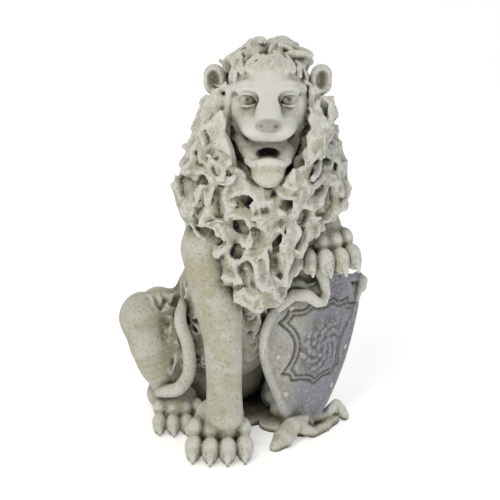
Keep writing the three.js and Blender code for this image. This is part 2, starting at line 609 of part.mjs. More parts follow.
function simplify({ points, faces }, wanted, care) {
  const total = points.length / 3;
  const at = Float64Array.from(points);
  const quadrics = new Float64Array(total * 10);
  const around = Array.from({ length: total }, () => []);
  const corners = Int32Array.from(faces);
  const alive = new Uint8Array(faces.length / 3).fill(1);
  const stamps = new Int32Array(total);
  const marks = new Int32Array(total);
  const q = new Float64Array(10);
  const to = new Float64Array(3);
  let mark = 0;
  let left = faces.length / 3;

  // Twice the area of a face along x, y and z, with one corner moved to where it would go.
  const normal = (f, v, out) => {
    const p = [0, 1, 2].map((k) => corners[3 * f + k]);
    const get = (k, axis) => (p[k] === v ? to[axis] : at[3 * p[k] + axis]);
    const [ux, uy, uz] = [get(1, 0) - get(0, 0), get(1, 1) - get(0, 1), get(1, 2) - get(0, 2)];
    const [vx, vy, vz] = [get(2, 0) - get(0, 0), get(2, 1) - get(0, 1), get(2, 2) - get(0, 2)];
    out[0] = uy * vz - uz * vy;
    out[1] = uz * vx - ux * vz;
    out[2] = ux * vy - uy * vx;
    const side = (ux - vx) ** 2 + (uy - vy) ** 2 + (uz - vz) ** 2;
    return Math.max(ux * ux + uy * uy + uz * uz, vx * vx + vy * vy + vz * vz, side);
  };
  const before = new Float64Array(3);
  const after = new Float64Array(3);

  for (let f = 0; f < left; f++) {
    normal(f, -1, before);
    const area = Math.hypot(...before);
    const [a, b, c] = corners.subarray(3 * f, 3 * f + 3);
    for (const v of [a, b, c]) around[v].push(f);
    if (area < 1e-9) continue;
    const [x, y, z] = before.map((n) => n / area);
    const d = -(x * at[3 * a] + y * at[3 * a + 1] + z * at[3 * a + 2]);
    const onGround = Math.max(at[3 * a + 2], at[3 * b + 2], at[3 * c + 2]) < 1e-3;
    const weight = area * (onGround ? GROUND_WEIGHT : care(at[3 * a], at[3 * a + 1], at[3 * a + 2]));
    const plane = [x * x, x * y, x * z, x * d, y * y, y * z, y * d, z * z, z * d, d * d];
    for (const v of [a, b, c]) for (let k = 0; k < 10; k++) quadrics[10 * v + k] += weight * plane[k];
  }

  const costAt = (x, y, z) => {
    const alongX = x * (q[0] * x + 2 * (q[1] * y + q[2] * z + q[3]));
    const alongY = y * (q[4] * y + 2 * (q[5] * z + q[6]));
    return alongX + alongY + z * (q[7] * z + 2 * q[8]) + q[9];
  };

  // The cost of joining two points. Leaves the best place for the joined point in to.
  const joinCost = (a, b) => {
    for (let k = 0; k < 10; k++) q[k] = quadrics[10 * a + k] + quadrics[10 * b + k];
    const [ax, ay, az] = [at[3 * a], at[3 * a + 1], at[3 * a + 2]];
    const [bx, by, bz] = [at[3 * b], at[3 * b + 1], at[3 * b + 2]];
    const square = (ax - bx) ** 2 + (ay - by) ** 2 + (az - bz) ** 2;
    let least = Infinity;
    const offer = (x, y, z) => {
      const cost = costAt(x, y, z);
      if (cost < least - 1e-9) {
        least = cost;
        to[0] = x;
        to[1] = y;
        to[2] = z;
      }
    };
    const cx = q[4] * q[7] - q[5] * q[5];
    const cy = q[2] * q[5] - q[1] * q[7];
    const cz = q[1] * q[5] - q[2] * q[4];
    const det = q[0] * cx + q[1] * cy + q[2] * cz;
    if (Math.abs(det) > 1e-4 * (q[0] + q[4] + q[7]) ** 3) {
      const x = -(cx * q[3] + cy * q[6] + cz * q[8]) / det;
      const y = -(cy * q[3] + (q[0] * q[7] - q[2] * q[2]) * q[6] + (q[1] * q[2] - q[0] * q[5]) * q[8]) / det;
      const z = -(cz * q[3] + (q[1] * q[2] - q[0] * q[5]) * q[6] + (q[0] * q[4] - q[1] * q[1]) * q[8]) / det;
      const off = (x - (ax + bx) / 2) ** 2 + (y - (ay + by) / 2) ** 2 + (z - (az + bz) / 2) ** 2;
      if (off < 4 * square) offer(x, y, z);
    }
    offer(ax, ay, az);
    offer(bx, by, bz);
    offer((ax + bx) / 2, (ay + by) / 2, (az + bz) / 2);
    return Math.max(0, least) + 1e-3 * square;
  };

  const heap = [];
  const push = (item) => {
    let i = heap.length;
    heap.push(item);
    while (i > 0 && heap[(i - 1) >> 1].cost > item.cost) {
      heap[i] = heap[(i - 1) >> 1];
      i = (i - 1) >> 1;
    }
    heap[i] = item;
  };
  const pop = () => {
    const top = heap[0];
    const item = heap.pop();
    let i = 0;
    for (let down = 1; down < heap.length; down = 2 * i + 1) {
      if (down + 1 < heap.length && heap[down + 1].cost < heap[down].cost) down++;
      if (heap[down].cost >= item.cost) break;
      heap[i] = heap[down];
      i = down;
    }
    if (heap.length > 0) heap[i] = item;
    return top;
  };
  const queue = (a, b) => push({ a, b, stamp: stamps[a] + stamps[b], cost: joinCost(a, b) });

  const eachNeighbour = (v, visit) => {
    mark++;
    marks[v] = mark;
    for (const f of around[v]) {
      for (let k = 3 * f; k < 3 * f + 3; k++) {
        if (marks[corners[k]] === mark) continue;
        marks[corners[k]] = mark;
        visit(corners[k]);
      }
    }
  };

  const sharedNeighbours = (a, b) => {
    eachNeighbour(a, () => {});
    const ring = mark;
    marks[b] = mark + 1;
    marks[a] = ++mark;
    let shared = 0;
    for (const f of around[b]) {
      for (let k = 3 * f; k < 3 * f + 3; k++) {
        if (marks[corners[k]] !== ring) continue;
        marks[corners[k]] = mark;
        shared++;
      }
    }
    return shared;
  };

  // A face may shrink or tilt, but it may not turn over or become a sliver.
  const staysSound = (v, other) => {
    for (const f of around[v]) {
      if (corners[3 * f] === other || corners[3 * f + 1] === other || corners[3 * f + 2] === other) continue;
      normal(f, -1, before);
      const longest = normal(f, v, after);
      const size = Math.hypot(after[0], after[1], after[2]);
      const dot = before[0] * after[0] + before[1] * after[1] + before[2] * after[2];
      if (dot < 0.25 * Math.hypot(before[0], before[1], before[2]) * size || size < 0.06 * longest) return false;
    }
    return true;
  };

  for (let v = 0; v < total; v++) eachNeighbour(v, (n) => v < n && queue(v, n));
  while (left > wanted && heap.length > 0) {
    const { a, b, stamp } = pop();
    if (around[a].length === 0 || around[b].length === 0 || stamp !== stamps[a] + stamps[b]) continue;
    if (sharedNeighbours(a, b) !== 2) continue;
    joinCost(a, b);
    if (!staysSound(a, b) || !staysSound(b, a)) continue;
    for (const f of around[b]) {
      const own = corners.subarray(3 * f, 3 * f + 3);
      if (own.includes(a)) {
        alive[f] = 0;
        left--;
        for (const c of own) if (c !== b) around[c] = around[c].filter((g) => g !== f);
      } else {
        own[own.indexOf(b)] = a;
        around[a].push(f);
      }
    }
    around[b] = [];
    for (let k = 0; k < 10; k++) quadrics[10 * a + k] += quadrics[10 * b + k];
    at.set(to, 3 * a);
    stamps[a]++;
    eachNeighbour(a, (n) => queue(a, n));
  }
  const kept = [];
  for (let f = 0; f < alive.length; f++) if (alive[f]) kept.push(...corners.subarray(3 * f, 3 * f + 3));
  return compact({ points: at, faces: kept });
}

// Putting it together: each step is a shape, how softly it joins and whether it is cut away.
function carvingSteps() {
  const joined = (list) => list.map(([shape, soft]) => ({ shape, soft, cut: false }));
  const cutAway = (list) => list.map(([shape, soft]) => ({ shape, soft, cut: true }));
  const each = (shapes, soft) => shapes.map((shape) => [shape, soft]);
  return [
    ...joined([...bodyMasses(), ...hindLeg(1), ...hindLeg(-1), ...foreLeg(), ...raisedLeg()]),
    ...joined([...maneBase, ...headMasses(), ...each(maneLocks(), 2)]),
    ...cutAway(each(manePits(), 3)),
    ...joined(ears()),
    ...cutAway(headHollows()),
    ...joined(eyes()),
    ...joined([...each([shieldPlate(), ...shieldRim()], 2), ...each(shieldScrolls(), 3)]),
    ...joined(each(shieldFootShapes(), 4)),
    ...joined(paw({ at: posed(-72, 28, 0), heading: -20, size: 1.07 })),
    ...joined(paw({ at: posed(-106, 178, 0), heading: -12, size: 0.92 })),
    ...joined(paw({ at: posed(106, 178, 0), heading: 12, size: 0.92 })),
    ...joined(paw({ at: onShield(-15, SHIELD_HEIGHT - 6, -36), heading: 2, size: 0.94, drop: 8 })),
    ...joined(each([tailShape(), ...groundLobes()], 3)),
  ];
}

// The grid reaches round all that is joined, and the ground lies halfway between two of its layers.
function figureField() {
  const steps = carvingSteps();
  const box = new THREE.Box3();
  for (const { shape, cut } of steps) if (!cut) box.union(shape.box);
  box.expandByScalar(MARGIN_CELLS * CELL);
  box.min.z = (Math.floor(box.min.z / CELL) - 0.5) * CELL;
  const field = new Field(box.min, box.max, CELL);
  for (const { shape, soft, cut } of steps) {
    if (cut) field.carve(shape, soft);
    else field.blend(shape, soft);
  }
  return field;
}

const wasm = await Module();
wasm.setup();

const MERGE_REACH = 1e-3; // corners closer than this are one corner

const solidOf = ({ points, faces }) =>
  new wasm.Manifold(
    new wasm.Mesh({ numProp: 3, vertProperties: Float32Array.from(points), triVerts: Uint32Array.from(faces) }),
  );

// A closed solid from a geometry whose faces don't yet share their corners.
function closedSolid(geometry) {
  geometry.deleteAttribute("normal");
  geometry.deleteAttribute("uv");
  const merged = mergeVertices(geometry, MERGE_REACH);
  return solidOf({ points: merged.attributes.position.array, faces: merged.index.array });
}

// The face keeps its detail best, and the shield comes next.
const FACE_CARE = 12;
const FACE_REACH = 92 * scale;
const SHIELD_CARE = 3;
const SHIELD_REACH = 50;

function careAt(x, y, z) {
  const p = point(x, y, z);
  if (p.distanceTo(faceCentre) < FACE_REACH) return FACE_CARE;
  const from = p.sub(shieldBase);
  const beside = Math.abs(from.dot(shieldAside)) - SHIELD_WIDTH / 2;
  const through = Math.abs(from.dot(shieldFront) + SHIELD_THICKNESS);
  return beside < RIM_RADIUS && through < SHIELD_REACH ? SHIELD_CARE : 1;
}

// The casting stands on a flat underside, where everything below the ground is cut away.
function lionGeometry() {
  const skin = solidOf(largestSkin(surface(figureField())));
  const depth = FIGURE_HEIGHT;
  const below = new THREE.BoxGeometry(4 * FIGURE_HEIGHT, 4 * FIGURE_HEIGHT, depth).translate(0, 0, -depth / 2);
  const cut = skin.subtract(closedSolid(below)).getMesh();
  const figure = simplify({ points: [...cut.vertProperties], faces: [...cut.triVerts] }, FACES, careAt);
  for (let k = 2; k < figure.points.length; k += 3) if (figure.points[k] < NEAR_GROUND) figure.points[k] = 0;
  const whole = shieldCarving().reduce((solid, part) => solid.add(part), solidOf(figure)).getMesh();
  const geometry = new THREE.BufferGeometry();
  geometry.setAttribute("position", new THREE.BufferAttribute(whole.vertProperties, 3));
  geometry.setIndex([...whole.triVerts]);
  geometry.computeVertexNormals();
  return geometry;
}

const stone = new THREE.MeshStandardMaterial({ color: COLOUR, roughness: 0.92, metalness: 0 });
const lion = new THREE.Mesh(lionGeometry(), stone);
lion.name = "lion_statue";
lion.geometry.computeBoundingBox();
const middle = lion.geometry.boundingBox.getCenter(new THREE.Vector3());
lion.position.set(-middle.x, -middle.y, 0);

const model = new THREE.Group();
model.add(lion);
export default model;
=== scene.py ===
"""A seated garden lion in weathered cast stone with its paw on a shield, carved as one field of distances."""

import math

import bpy
import numpy as np
import openvdb
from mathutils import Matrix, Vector


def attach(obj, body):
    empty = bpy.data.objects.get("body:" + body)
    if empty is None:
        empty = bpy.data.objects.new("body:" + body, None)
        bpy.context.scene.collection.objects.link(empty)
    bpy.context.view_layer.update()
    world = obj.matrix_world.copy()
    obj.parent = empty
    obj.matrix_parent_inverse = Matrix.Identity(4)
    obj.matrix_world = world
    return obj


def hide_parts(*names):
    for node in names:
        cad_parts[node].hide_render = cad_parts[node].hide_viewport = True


bl_info = {
    "name": "Garden lion",
    "version": (1, 0, 0),
    "blender": (4, 5, 0),
    "location": "View3D > Sidebar > Garden lion",
    "description": "Carves a seated cast-stone lion with a shield and sets it on a pale floor",
    "category": "Add Mesh",
}

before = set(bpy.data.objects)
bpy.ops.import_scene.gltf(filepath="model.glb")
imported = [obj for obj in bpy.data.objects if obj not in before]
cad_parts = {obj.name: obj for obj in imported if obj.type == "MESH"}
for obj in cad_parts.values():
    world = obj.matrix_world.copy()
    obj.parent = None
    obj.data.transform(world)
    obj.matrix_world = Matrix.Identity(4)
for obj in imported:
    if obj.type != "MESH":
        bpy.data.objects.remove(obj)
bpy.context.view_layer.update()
NODE = "lion_statue"
MM = 0.001

# Sizes of the casting, in millimetres, as the CAD model has them.
SHIELD_THICKNESS = 20.0
SHIELD_BOW = 165.0
SHIELD_TURN = math.radians(27)
HEAD_TURN = math.radians(-20)
RIM_RADIUS = 9.5
FOOT_HEIGHT = 26.0
GROUND_THICKNESS = 13.0
FAR = 60.0
GOLDEN_ANGLE = math.pi * (3 - math.sqrt(5))


def point(x, y, z):
    return np.array([x, y, z], dtype=float)


def unit(v):
    return v / np.maximum(np.linalg.norm(v, axis=-1, keepdims=True), 1e-9)


def chance(n):
    """A repeatable stand-in for chance: the same whole number always gives the same share from 0 to 1."""
    s = np.sin(np.asarray(n, dtype=float) * 12.9898 + 4.1414) * 43758.5453
    return s - np.floor(s)


def soft_min(a, b, soft):
    h = np.maximum(soft - np.abs(a - b), 0) / soft
    return np.minimum(a, b) - h * h * (soft / 4)


def soft_step(low, high, value):
    t = np.clip((value - low) / (high - low), 0, 1)
    return t * t * (3 - 2 * t)


def turned(angles):
    """The matrix of three turns in degrees about X, Y and Z, Z first."""
    ax, ay, az = (math.radians(a) for a in angles)
    rx = np.array([[1, 0, 0], [0, math.cos(ax), -math.sin(ax)], [0, math.sin(ax), math.cos(ax)]])
    ry = np.array([[math.cos(ay), 0, math.sin(ay)], [0, 1, 0], [-math.sin(ay), 0, math.cos(ay)]])
    rz = np.array([[math.cos(az), -math.sin(az), 0], [math.sin(az), math.cos(az), 0], [0, 0, 1]])
    return rx @ ry @ rz


class Shape:
    """A distance function and the box it matters in."""

    def __init__(self, low, high, distance):
        self.low = np.asarray(low, dtype=float)
        self.high = np.asarray(high, dtype=float)
        self.distance = distance


def ball(at, radii, turn=(0, 0, 0)):
    back = turned(turn).T.astype(np.float32)
    reach = max(radii)

    def distance(x, y, z):
        dx, dy, dz = x - np.float32(at[0]), y - np.float32(at[1]), z - np.float32(at[2])
        axes = [(row[0] * dx + row[1] * dy + row[2] * dz) / np.float32(r) for row, r in zip(back, radii)]
        inside = np.sqrt(sum(a * a for a in axes))
        slope = np.sqrt(sum((a / np.float32(r)) ** 2 for a, r in zip(axes, radii)))
        return inside * (inside - 1) / np.maximum(slope, np.float32(1e-6))

    return Shape(at - reach, at + reach, distance)


def chain(points, radii, thin=1.0, normals=None):
    """A tube along straight steps. thin below 1 flattens it along the normal given for each point."""
    points = np.asarray(points, dtype=np.float32)
    radii = np.asarray(radii, dtype=np.float32)
    squeeze = np.float32(1 / thin - 1)

    def distance(x, y, z):
        best = None
        for i in range(len(points) - 1):
            a, d = points[i], points[i + 1] - points[i]
            square = max(float(d @ d), 1e-9)
            qx, qy, qz = x - a[0], y - a[1], z - a[2]
            t = np.clip((qx * d[0] + qy * d[1] + qz * d[2]) * np.float32(1 / square), 0, 1)
            qx, qy, qz = qx - t * d[0], qy - t * d[1], qz - t * d[2]
            if normals is not None:
                n = unit(normals[i] + normals[i + 1]).astype(np.float32)
                extra = squeeze * (qx * n[0] + qy * n[1] + qz * n[2])
                qx, qy, qz = qx + extra * n[0], qy + extra * n[1], qz + extra * n[2]
            here = np.sqrt(qx * qx + qy * qy + qz * qz) - (radii[i] + t * (radii[i + 1] - radii[i]))
            best = here if best is None else np.minimum(best, here)
        return best

    reach = radii[:, None]
    return Shape((points - reach).min(axis=0), (points + reach).max(axis=0), distance)


def smooth_curve(points, steps):
    """Points on a centripetal Catmull-Rom curve through the given ones."""
    p = np.asarray(points, dtype=float)
    p = np.vstack([2 * p[0] - p[1], p, 2 * p[-1] - p[-2]])
    out = []
    for i in range(1, len(p) - 2):
        a, b, c, d = p[i - 1 : i + 3]
        t = np.cumsum([0] + [math.sqrt(max(np.linalg.norm(v), 1e-6)) for v in (b - a, c - b, d - c)])
        for s in np.linspace(t[1], t[2], steps, endpoint=False):
            ab = a + (b - a) * (s - t[0]) / (t[1] - t[0])
            bc = b + (c - b) * (s - t[1]) / (t[2] - t[1])
            cd = c + (d - c) * (s - t[2]) / (t[3] - t[2])
            abc = ab + (bc - ab) * (s - t[0]) / (t[2] - t[0])
            bcd = bc + (cd - bc) * (s - t[1]) / (t[3] - t[1])
            out.append(abc + (bcd - abc) * (s - t[1]) / (t[2] - t[1]))
    out.append(p[-2])
    return np.array(out)


def tube(points, radii, steps=5):
    route = smooth_curve(points, steps)
    at = np.linspace(0, len(radii) - 1, len(route))
    return chain(route, np.interp(at, range(len(radii)), radii))


class Field:
    """Distances on a regular grid. Shapes are blended in or carved out, each within its own box."""

    def __init__(self, low, high, cell):
        self.low = np.asarray(low, dtype=float)
        self.cell = cell
        self.count = np.ceil((np.asarray(high) - low) / cell).astype(int) + 1
        self.values = np.full(self.count, FAR, dtype=np.float32)

    def window(self, shape, reach):
        low = np.maximum(np.floor((shape.low - reach - self.low) / self.cell).astype(int), 0)
        high = np.minimum(np.ceil((shape.high + reach - self.low) / self.cell).astype(int) + 1, self.count)
        axes = []
        for k in range(3):
            line = (self.low[k] + self.cell * np.arange(low[k], high[k])).astype(np.float32)
            axes.append(line.reshape([-1 if j == k else 1 for j in range(3)]))
        return tuple(slice(a, b) for a, b in zip(low, high)), axes

    def blend(self, shape, soft=1.0):
        part, axes = self.window(shape, soft + 2 * self.cell)
        self.values[part] = soft_min(self.values[part], shape.distance(*axes), np.float32(soft))

    def carve(self, shape, soft=1.0):
        part, axes = self.window(shape, soft + 2 * self.cell)
        self.values[part] = -soft_min(-self.values[part], shape.distance(*axes), np.float32(soft))


class Noise:
    """Smooth noise with a fixed seed, from about -1 to 1, that turns over about once in a unit."""

    SIDE = 32

    def __init__(self, seed):
        draw = np.random.default_rng(seed)
        self.slopes = unit(draw.normal(size=(self.SIDE, self.SIDE, self.SIDE, 3))).astype(np.float32)

    def __call__(self, x, y, z):
        cells = [np.floor(v).astype(np.int32) for v in (x, y, z)]
        parts = [(v - c).astype(np.float32) for v, c in zip((x, y, z), cells)]
        fades = [f * f * f * (f * (f * 6 - 15) + 10) for f in parts]
        total = 0.0
        for corner in np.ndindex(2, 2, 2):
            slope = self.slopes[tuple((c + k) % self.SIDE for c, k in zip(cells, corner))]
            lean = sum(slope[..., a] * (parts[a] - corner[a]) for a in range(3))
            share = 1.0
            for k, fade in zip(corner, fades):
                share = share * (fade if k else 1 - fade)
            total = total + share * lean
        return total * 1.6


class Cells:
    """Points scattered with a fixed seed, one in each unit cube: gives how far off the nearest two are."""

    SIDE = 16

    def __init__(self, seed):
        self.spots = np.random.default_rng(seed).random((self.SIDE,) * 3 + (3,)).astype(np.float32)

    def __call__(self, x, y, z):
        places = [np.asarray(v, dtype=np.float32) for v in (x, y, z)]
        cubes = [np.floor(v).astype(np.int32) for v in places]
        first, second = np.full(places[0].shape, 9, np.float32), np.full(places[0].shape, 9, np.float32)
        for step in np.ndindex(3, 3, 3):
            here = [c + k - 1 for c, k in zip(cubes, step)]
            spot = self.spots[tuple(h % self.SIDE for h in here)]
            away = np.sqrt(sum((h + spot[..., a] - v) ** 2 for a, (h, v) in enumerate(zip(here, places))))
            away = away.astype(np.float32)
            second = np.minimum(second, np.maximum(first, away))
            first = np.minimum(first, away)
        return first, second


# The pose, in millimetres: the body faces -Y and its left side is +X. The CAD model is the same figure,
# moved to stand over the origin.
def body_masses():
    spine = [(0, 268, 104), (0, 232, 200), (0, 142, 300), (0, 70, 385), (0, 28, 470), (0, 0, 560)]
    return [
        (tube(spine, [104, 98, 86, 84, 66, 50], steps=4), 20),
        (ball(point(0, 168, 186), (82, 86, 96)), 30),
        (ball(point(0, 14, 366), (72, 52, 90)), 25),
        (tube([(-6, 30, 300), (4, 58, 232), (8, 84, 150)], [34, 30, 10]), 12),
        (tube([(46, 34, 300), (44, 66, 236), (38, 88, 176)], [34, 28, 10]), 12),
        (ball(point(0, 270, 92), (122, 84, 92)), 25),
    ]


def hind_leg(side):
    def at(x, y, z):
        return (side * x, y, z)

    thigh = [at(172, 190, 214), at(160, 172, 160), at(138, 176, 104), at(118, 200, 62)]
    foot = [at(112, 262, 34), at(112, 200, 36), at(114, 160, 36)]
    return [
        (ball(point(*at(118, 240, 154)), (56, 98, 100), (22, 0, 0)), 22),
        (ball(point(*at(168, 198, 214)), (40, 44, 46), (0, -18 * side, 0)), 20),
        (tube(thigh, [34, 36, 28, 25]), 12),
        (tube(foot, [30, 28, 28]), 16),
    ]


def fore_leg():
    route = [(-86, 36, 372), (-76, 26, 290), (-70, 12, 210), (-70, 6, 130), (-72, -2, 74)]
    return [
        (ball(point(-78, 50, 384), (42, 60, 90), (-14, 0, 0)), 24),
        (tube(route, [50, 44, 34, 31, 33]), 14),
        (ball(point(-82, 62, 262), (24, 26, 34)), 18),
    ]


def raised_leg():
    wrist = on_shield(8, SHIELD_HEIGHT + 22, -44)
    return [
        (ball(point(80, 50, 384), (42, 60, 90), (-14, 0, 0)), 24),
        (ball(on_shield(-58, SHIELD_HEIGHT - 20, -62), (34, 30, 36)), 10),
        (ball(on_shield(-26, SHIELD_HEIGHT - 14, -46), (28, 22, 26)), 10),
        (tube([(88, 40, 390), (118, 84, 340), (132, 60, 344)], [50, 38, 34]), 16),
        (tube([(118, 84, 340), (136, 46, 352), wrist], [36, 34, 32]), 10),
    ]


def paw(at, heading, size=1.0, drop=0.0):
    """A paw with four toes. heading is in degrees from -Y towards +X.

    drop lets the toes hang below the wrist.
    """
    turn = math.radians(heading)
    ahead, aside = point(math.sin(turn), -math.cos(turn), 0), point(math.cos(turn), math.sin(turn), 0)

    def put(f, s, z):
        sunk = drop * max(0.0, f / 60) ** 1.5
        return at + ahead * f * size + aside * s * size + point(0, 0, z * size - sunk)

    def pad(f, s, z, rf, rs, rz, soft):
        return ball(put(f, s, z), (rs * size, rf * size, rz * size), (0, 0, heading)), soft

    shapes = [pad(4, 0, 34, 46, 44, 34, 14), pad(4, 0, 62, 32, 38, 28, 14)]
    for toe in (-1.5, -0.5, 0.5, 1.5):
        short = 10.0 if abs(toe) > 1 else 0.0
        side = toe * 27
        shapes.append(pad(34 - short, side * 0.92, 44, 20, 14.5, 18, 5))
        shapes.append(pad(58 - short, side, 22, 19, 15, 20, 5))
        shapes.append(pad(66 - short, side * 1.02, 14, 13, 12.5, 14, 4))
        tip = put(82 - short, side * 1.03, 3)
        claw = [put(72 - short, side * 1.02, 22), put(80 - short, side * 1.03, 14), tip]
        shapes.append((tube(claw, [5 * size, 5.5 * size, 2.5 * size]), 2))
    return shapes


def tail():
    route = [
        (20, 340, 60), (-50, 350, 34), (-104, 326, 24), (-112, 276, 28), (-126, 218, 48),
        (-138, 164, 74), (-118, 128, 88), (-100, 122, 116), (-100, 124, 170),
        (-110, 138, 214), (-92, 176, 240),
    ]
    return tube(route, [22, 20, 17, 15, 13.5, 13, 13, 12.5, 12, 12, 9], steps=6)


# The shield
SHIELD_WIDTH = 226.0
FLATTER = 0.55
SHIELD_HEIGHT = 300.0
SHIELD_UP = unit(point(50, -36, 300))
_aside = point(math.cos(SHIELD_TURN), math.sin(SHIELD_TURN), 0)
SHIELD_ASIDE = unit(_aside - SHIELD_UP * (_aside @ SHIELD_UP))
SHIELD_FRONT = unit(np.cross(SHIELD_ASIDE, SHIELD_UP))
SHIELD_FOOT = point(103, 43, 0)
SHIELD_BASE = SHIELD_FOOT + point(0, 0, FOOT_HEIGHT)
SHIELD_EDGE = [
    (0.2, 0), (0.42, 0.07), (0.64, 0.2), (0.88, 0.38), (0.97, 0.54), (0.94, 0.68),
    (0.84, 0.8), (0.86, 0.88), (0.7, 0.91), (0.48, 0.85), (0.25, 0.92), (0, 1),
]
BORDER = [
    [(0, 75), (23, 87), (56, 87)],
    [(56, 87), (62, 98), (76, 99)],
    [(76, 99), (64, 128), (64, 157), (76, 178), (98, 196)],
    [(98, 196), (90, 208), (87, 222)],
    [(87, 222), (60, 226), (50, 240)],
    [(50, 240), (24, 236), (0, 246)],
]
BORDER_DEPTH = 3.6
MEDAL_AT, MEDAL_RADIUS, MEDAL_RING = (-8, 270), 40.0, 8.0
WREATH_AT, WREATH = (0, 152), (50.0, 50.0)
SPRIGS, LEAF, LEAF_HEIGHT = 32, (5.2, 11.0), 3.6
LINE_WIDTH, LINE_GAP = 2.4, 9.0
STUDS = [(0, 0.04), (0.56, 0.2), (0.8, 0.44), (0.76, 0.76), (-0.56, 0.2), (-0.8, 0.44), (-0.76, 0.76)]


def shield_sag(w):
    """How far the bowed face falls back at w across the chord, and its slope. Its outer half is flatter."""
    bow = np.where(w > 0, FLATTER, 1.0)
    drop = np.sqrt(np.maximum(SHIELD_BOW**2 - w * w, 1.0))
    return bow * (SHIELD_BOW - drop), bow * w / drop


def on_shield(w, h, d=0.0):
    """A place on the shield: w across its chord, h up from its lower point, d out from its bowed face."""
    sag = float(shield_sag(np.float64(w))[0])
    return SHIELD_BASE + SHIELD_ASIDE * w + SHIELD_UP * h + SHIELD_FRONT * (d - sag)


def shield_half():
    knots = [(w * SHIELD_WIDTH / 2, h * SHIELD_HEIGHT, 0) for w, h in SHIELD_EDGE]
    return smooth_curve(knots, 5)[:, :2]


def outline_distance(outline, x, y):
    """Signed distance from a flat closed outline, negative inside."""
    nearest = np.full(np.broadcast(x, y).shape, 1e9, dtype=np.float32)
    inside = np.zeros(nearest.shape, dtype=bool)
    for a, b in zip(outline, np.roll(outline, 1, axis=0)):
        e = b - a
        t = np.clip(((x - a[0]) * e[0] + (y - a[1]) * e[1]) / max(e @ e, 1e-9), 0, 1)
        nearest = np.minimum(nearest, (x - a[0] - t * e[0]) ** 2 + (y - a[1] - t * e[1]) ** 2)
        if e[1] != 0:
            inside ^= ((a[1] > y) != (b[1] > y)) & (x < a[0] + (y - a[1]) * e[0] / e[1])
    return np.where(inside, -1, 1) * np.sqrt(nearest)


def in_shield(x, y, z):
    """The w and h of places on the shield, and how far they stand out from its bowed face."""
    offsets = [x - SHIELD_BASE[0], y - SHIELD_BASE[1], z - SHIELD_BASE[2]]

    def along(v):
        return sum(o * np.float32(c) for o, c in zip(offsets, v))

    w, h, d = along(SHIELD_ASIDE), along(SHIELD_UP), along(SHIELD_FRONT)
    sag, slope = shield_sag(np.clip(w, -SHIELD_WIDTH * 0.62, SHIELD_WIDTH * 0.62))
    return w, h, (d + sag) / np.sqrt(1 + slope * slope)


def mirrored_outline(half):
    return np.vstack([half, (half * (-1, 1))[-2::-1]])


def border_lines(w, h):
    """1 in the two cut lines of the scrolled border, 0 away from them."""
    half = [smooth_curve([(a, b, 0) for a, b in run], 4)[:-1] for run in BORDER]
    border = outline_distance(mirrored_outline(np.vstack(half + [[(*BORDER[-1][-1], 0)]])[:, :2]), w, h)
    return np.exp(-((border / LINE_WIDTH) ** 2)) + 0.8 * np.exp(-(((border + LINE_GAP) / LINE_WIDTH) ** 2))


def shield_relief(w, h):
    """The carving on the face, in millimetres up: border lines, a ringed medal and a bed of leaves."""
    height = -BORDER_DEPTH * border_lines(w, h)
    from_medal = np.hypot(w - MEDAL_AT[0], h - MEDAL_AT[1])
    rings = np.cos(2 * math.pi * from_medal / MEDAL_RING)
    height += 1.3 * (1 - soft_step(MEDAL_RADIUS - 3, MEDAL_RADIUS, from_medal)) * rings
    for i in range(SPRIGS):
        angle = i * GOLDEN_ANGLE
        away = math.sqrt((i + 0.5) / SPRIGS)
        u = w - WREATH_AT[0] - WREATH[0] * away * math.sin(angle)
        v = h - WREATH_AT[1] - WREATH[1] * away * math.cos(angle)
        lean = angle + 0.8 + 0.8 * chance(i + 8100)
        u, v = u * math.cos(lean) - v * math.sin(lean), u * math.sin(lean) + v * math.cos(lean)
        leaf = np.maximum(0, 1 - (u / LEAF[0]) ** 2 - (v / LEAF[1]) ** 2)
        height = np.where(leaf > 0, LEAF_HEIGHT * np.sqrt(leaf) - 1.3 * np.exp(-((u / 1.3) ** 2)), height)
    return height


def chart_reader(values, low, step):
    """Reads a flat chart between its knots."""

    def read(w, h):
        i = np.clip((w - low[0]) / step[0], 0, values.shape[0] - 1.001)
        j = np.clip((h - low[1]) / step[1], 0, values.shape[1] - 1.001)
        i0, j0 = i.astype(int), j.astype(int)
        fi, fj = i - i0, j - j0
        near = values[i0, j0] * (1 - fi) + values[i0 + 1, j0] * fi
        far = values[i0, j0 + 1] * (1 - fi) + values[i0 + 1, j0 + 1] * fi
        return near * (1 - fj) + far * fj

    return read


def shield_plate():
    outline = mirrored_outline(shield_half())
    corners = np.array([on_shield(w, h, d) for w, h in outline for d in (0, -SHIELD_THICKNESS)])
    corners = np.vstack([corners, on_shield(0, SHIELD_HEIGHT / 2, RIM_RADIUS)])
    map_w = np.linspace(-1, 1, 241) * (SHIELD_WIDTH / 2 + 30)
    map_h = np.linspace(-30, SHIELD_HEIGHT + 30, 301)
    low, step = (map_w[0], map_h[0]), (map_w[1] - map_w[0], map_h[1] - map_h[0])
    beside = chart_reader(outline_distance(outline, map_w[:, None], map_h[None, :]), low, step)
    relief = chart_reader(shield_relief(map_w[:, None], map_h[None, :]), low, step)

    def distance(x, y, z):
        w, h, out = in_shield(x, y, z)
        side = beside(w, h) + 1.3 * np.maximum(0, -6 - out)
        return np.maximum(np.maximum(out - relief(w, h), -SHIELD_THICKNESS - out), side).astype(np.float32)

    return Shape(corners.min(axis=0), corners.max(axis=0), distance)


def shield_rim():
    """A thick roll that wraps the plate's edge and stands proud of its face."""
    half = shield_half()
    rims = []
    for sign in (1, -1):
        route = [on_shield(sign * (w + 1), h, -7 if sign < 0 else -5) for w, h in half]
        rims.append(chain(route, [RIM_RADIUS] * len(route)))
    return rims


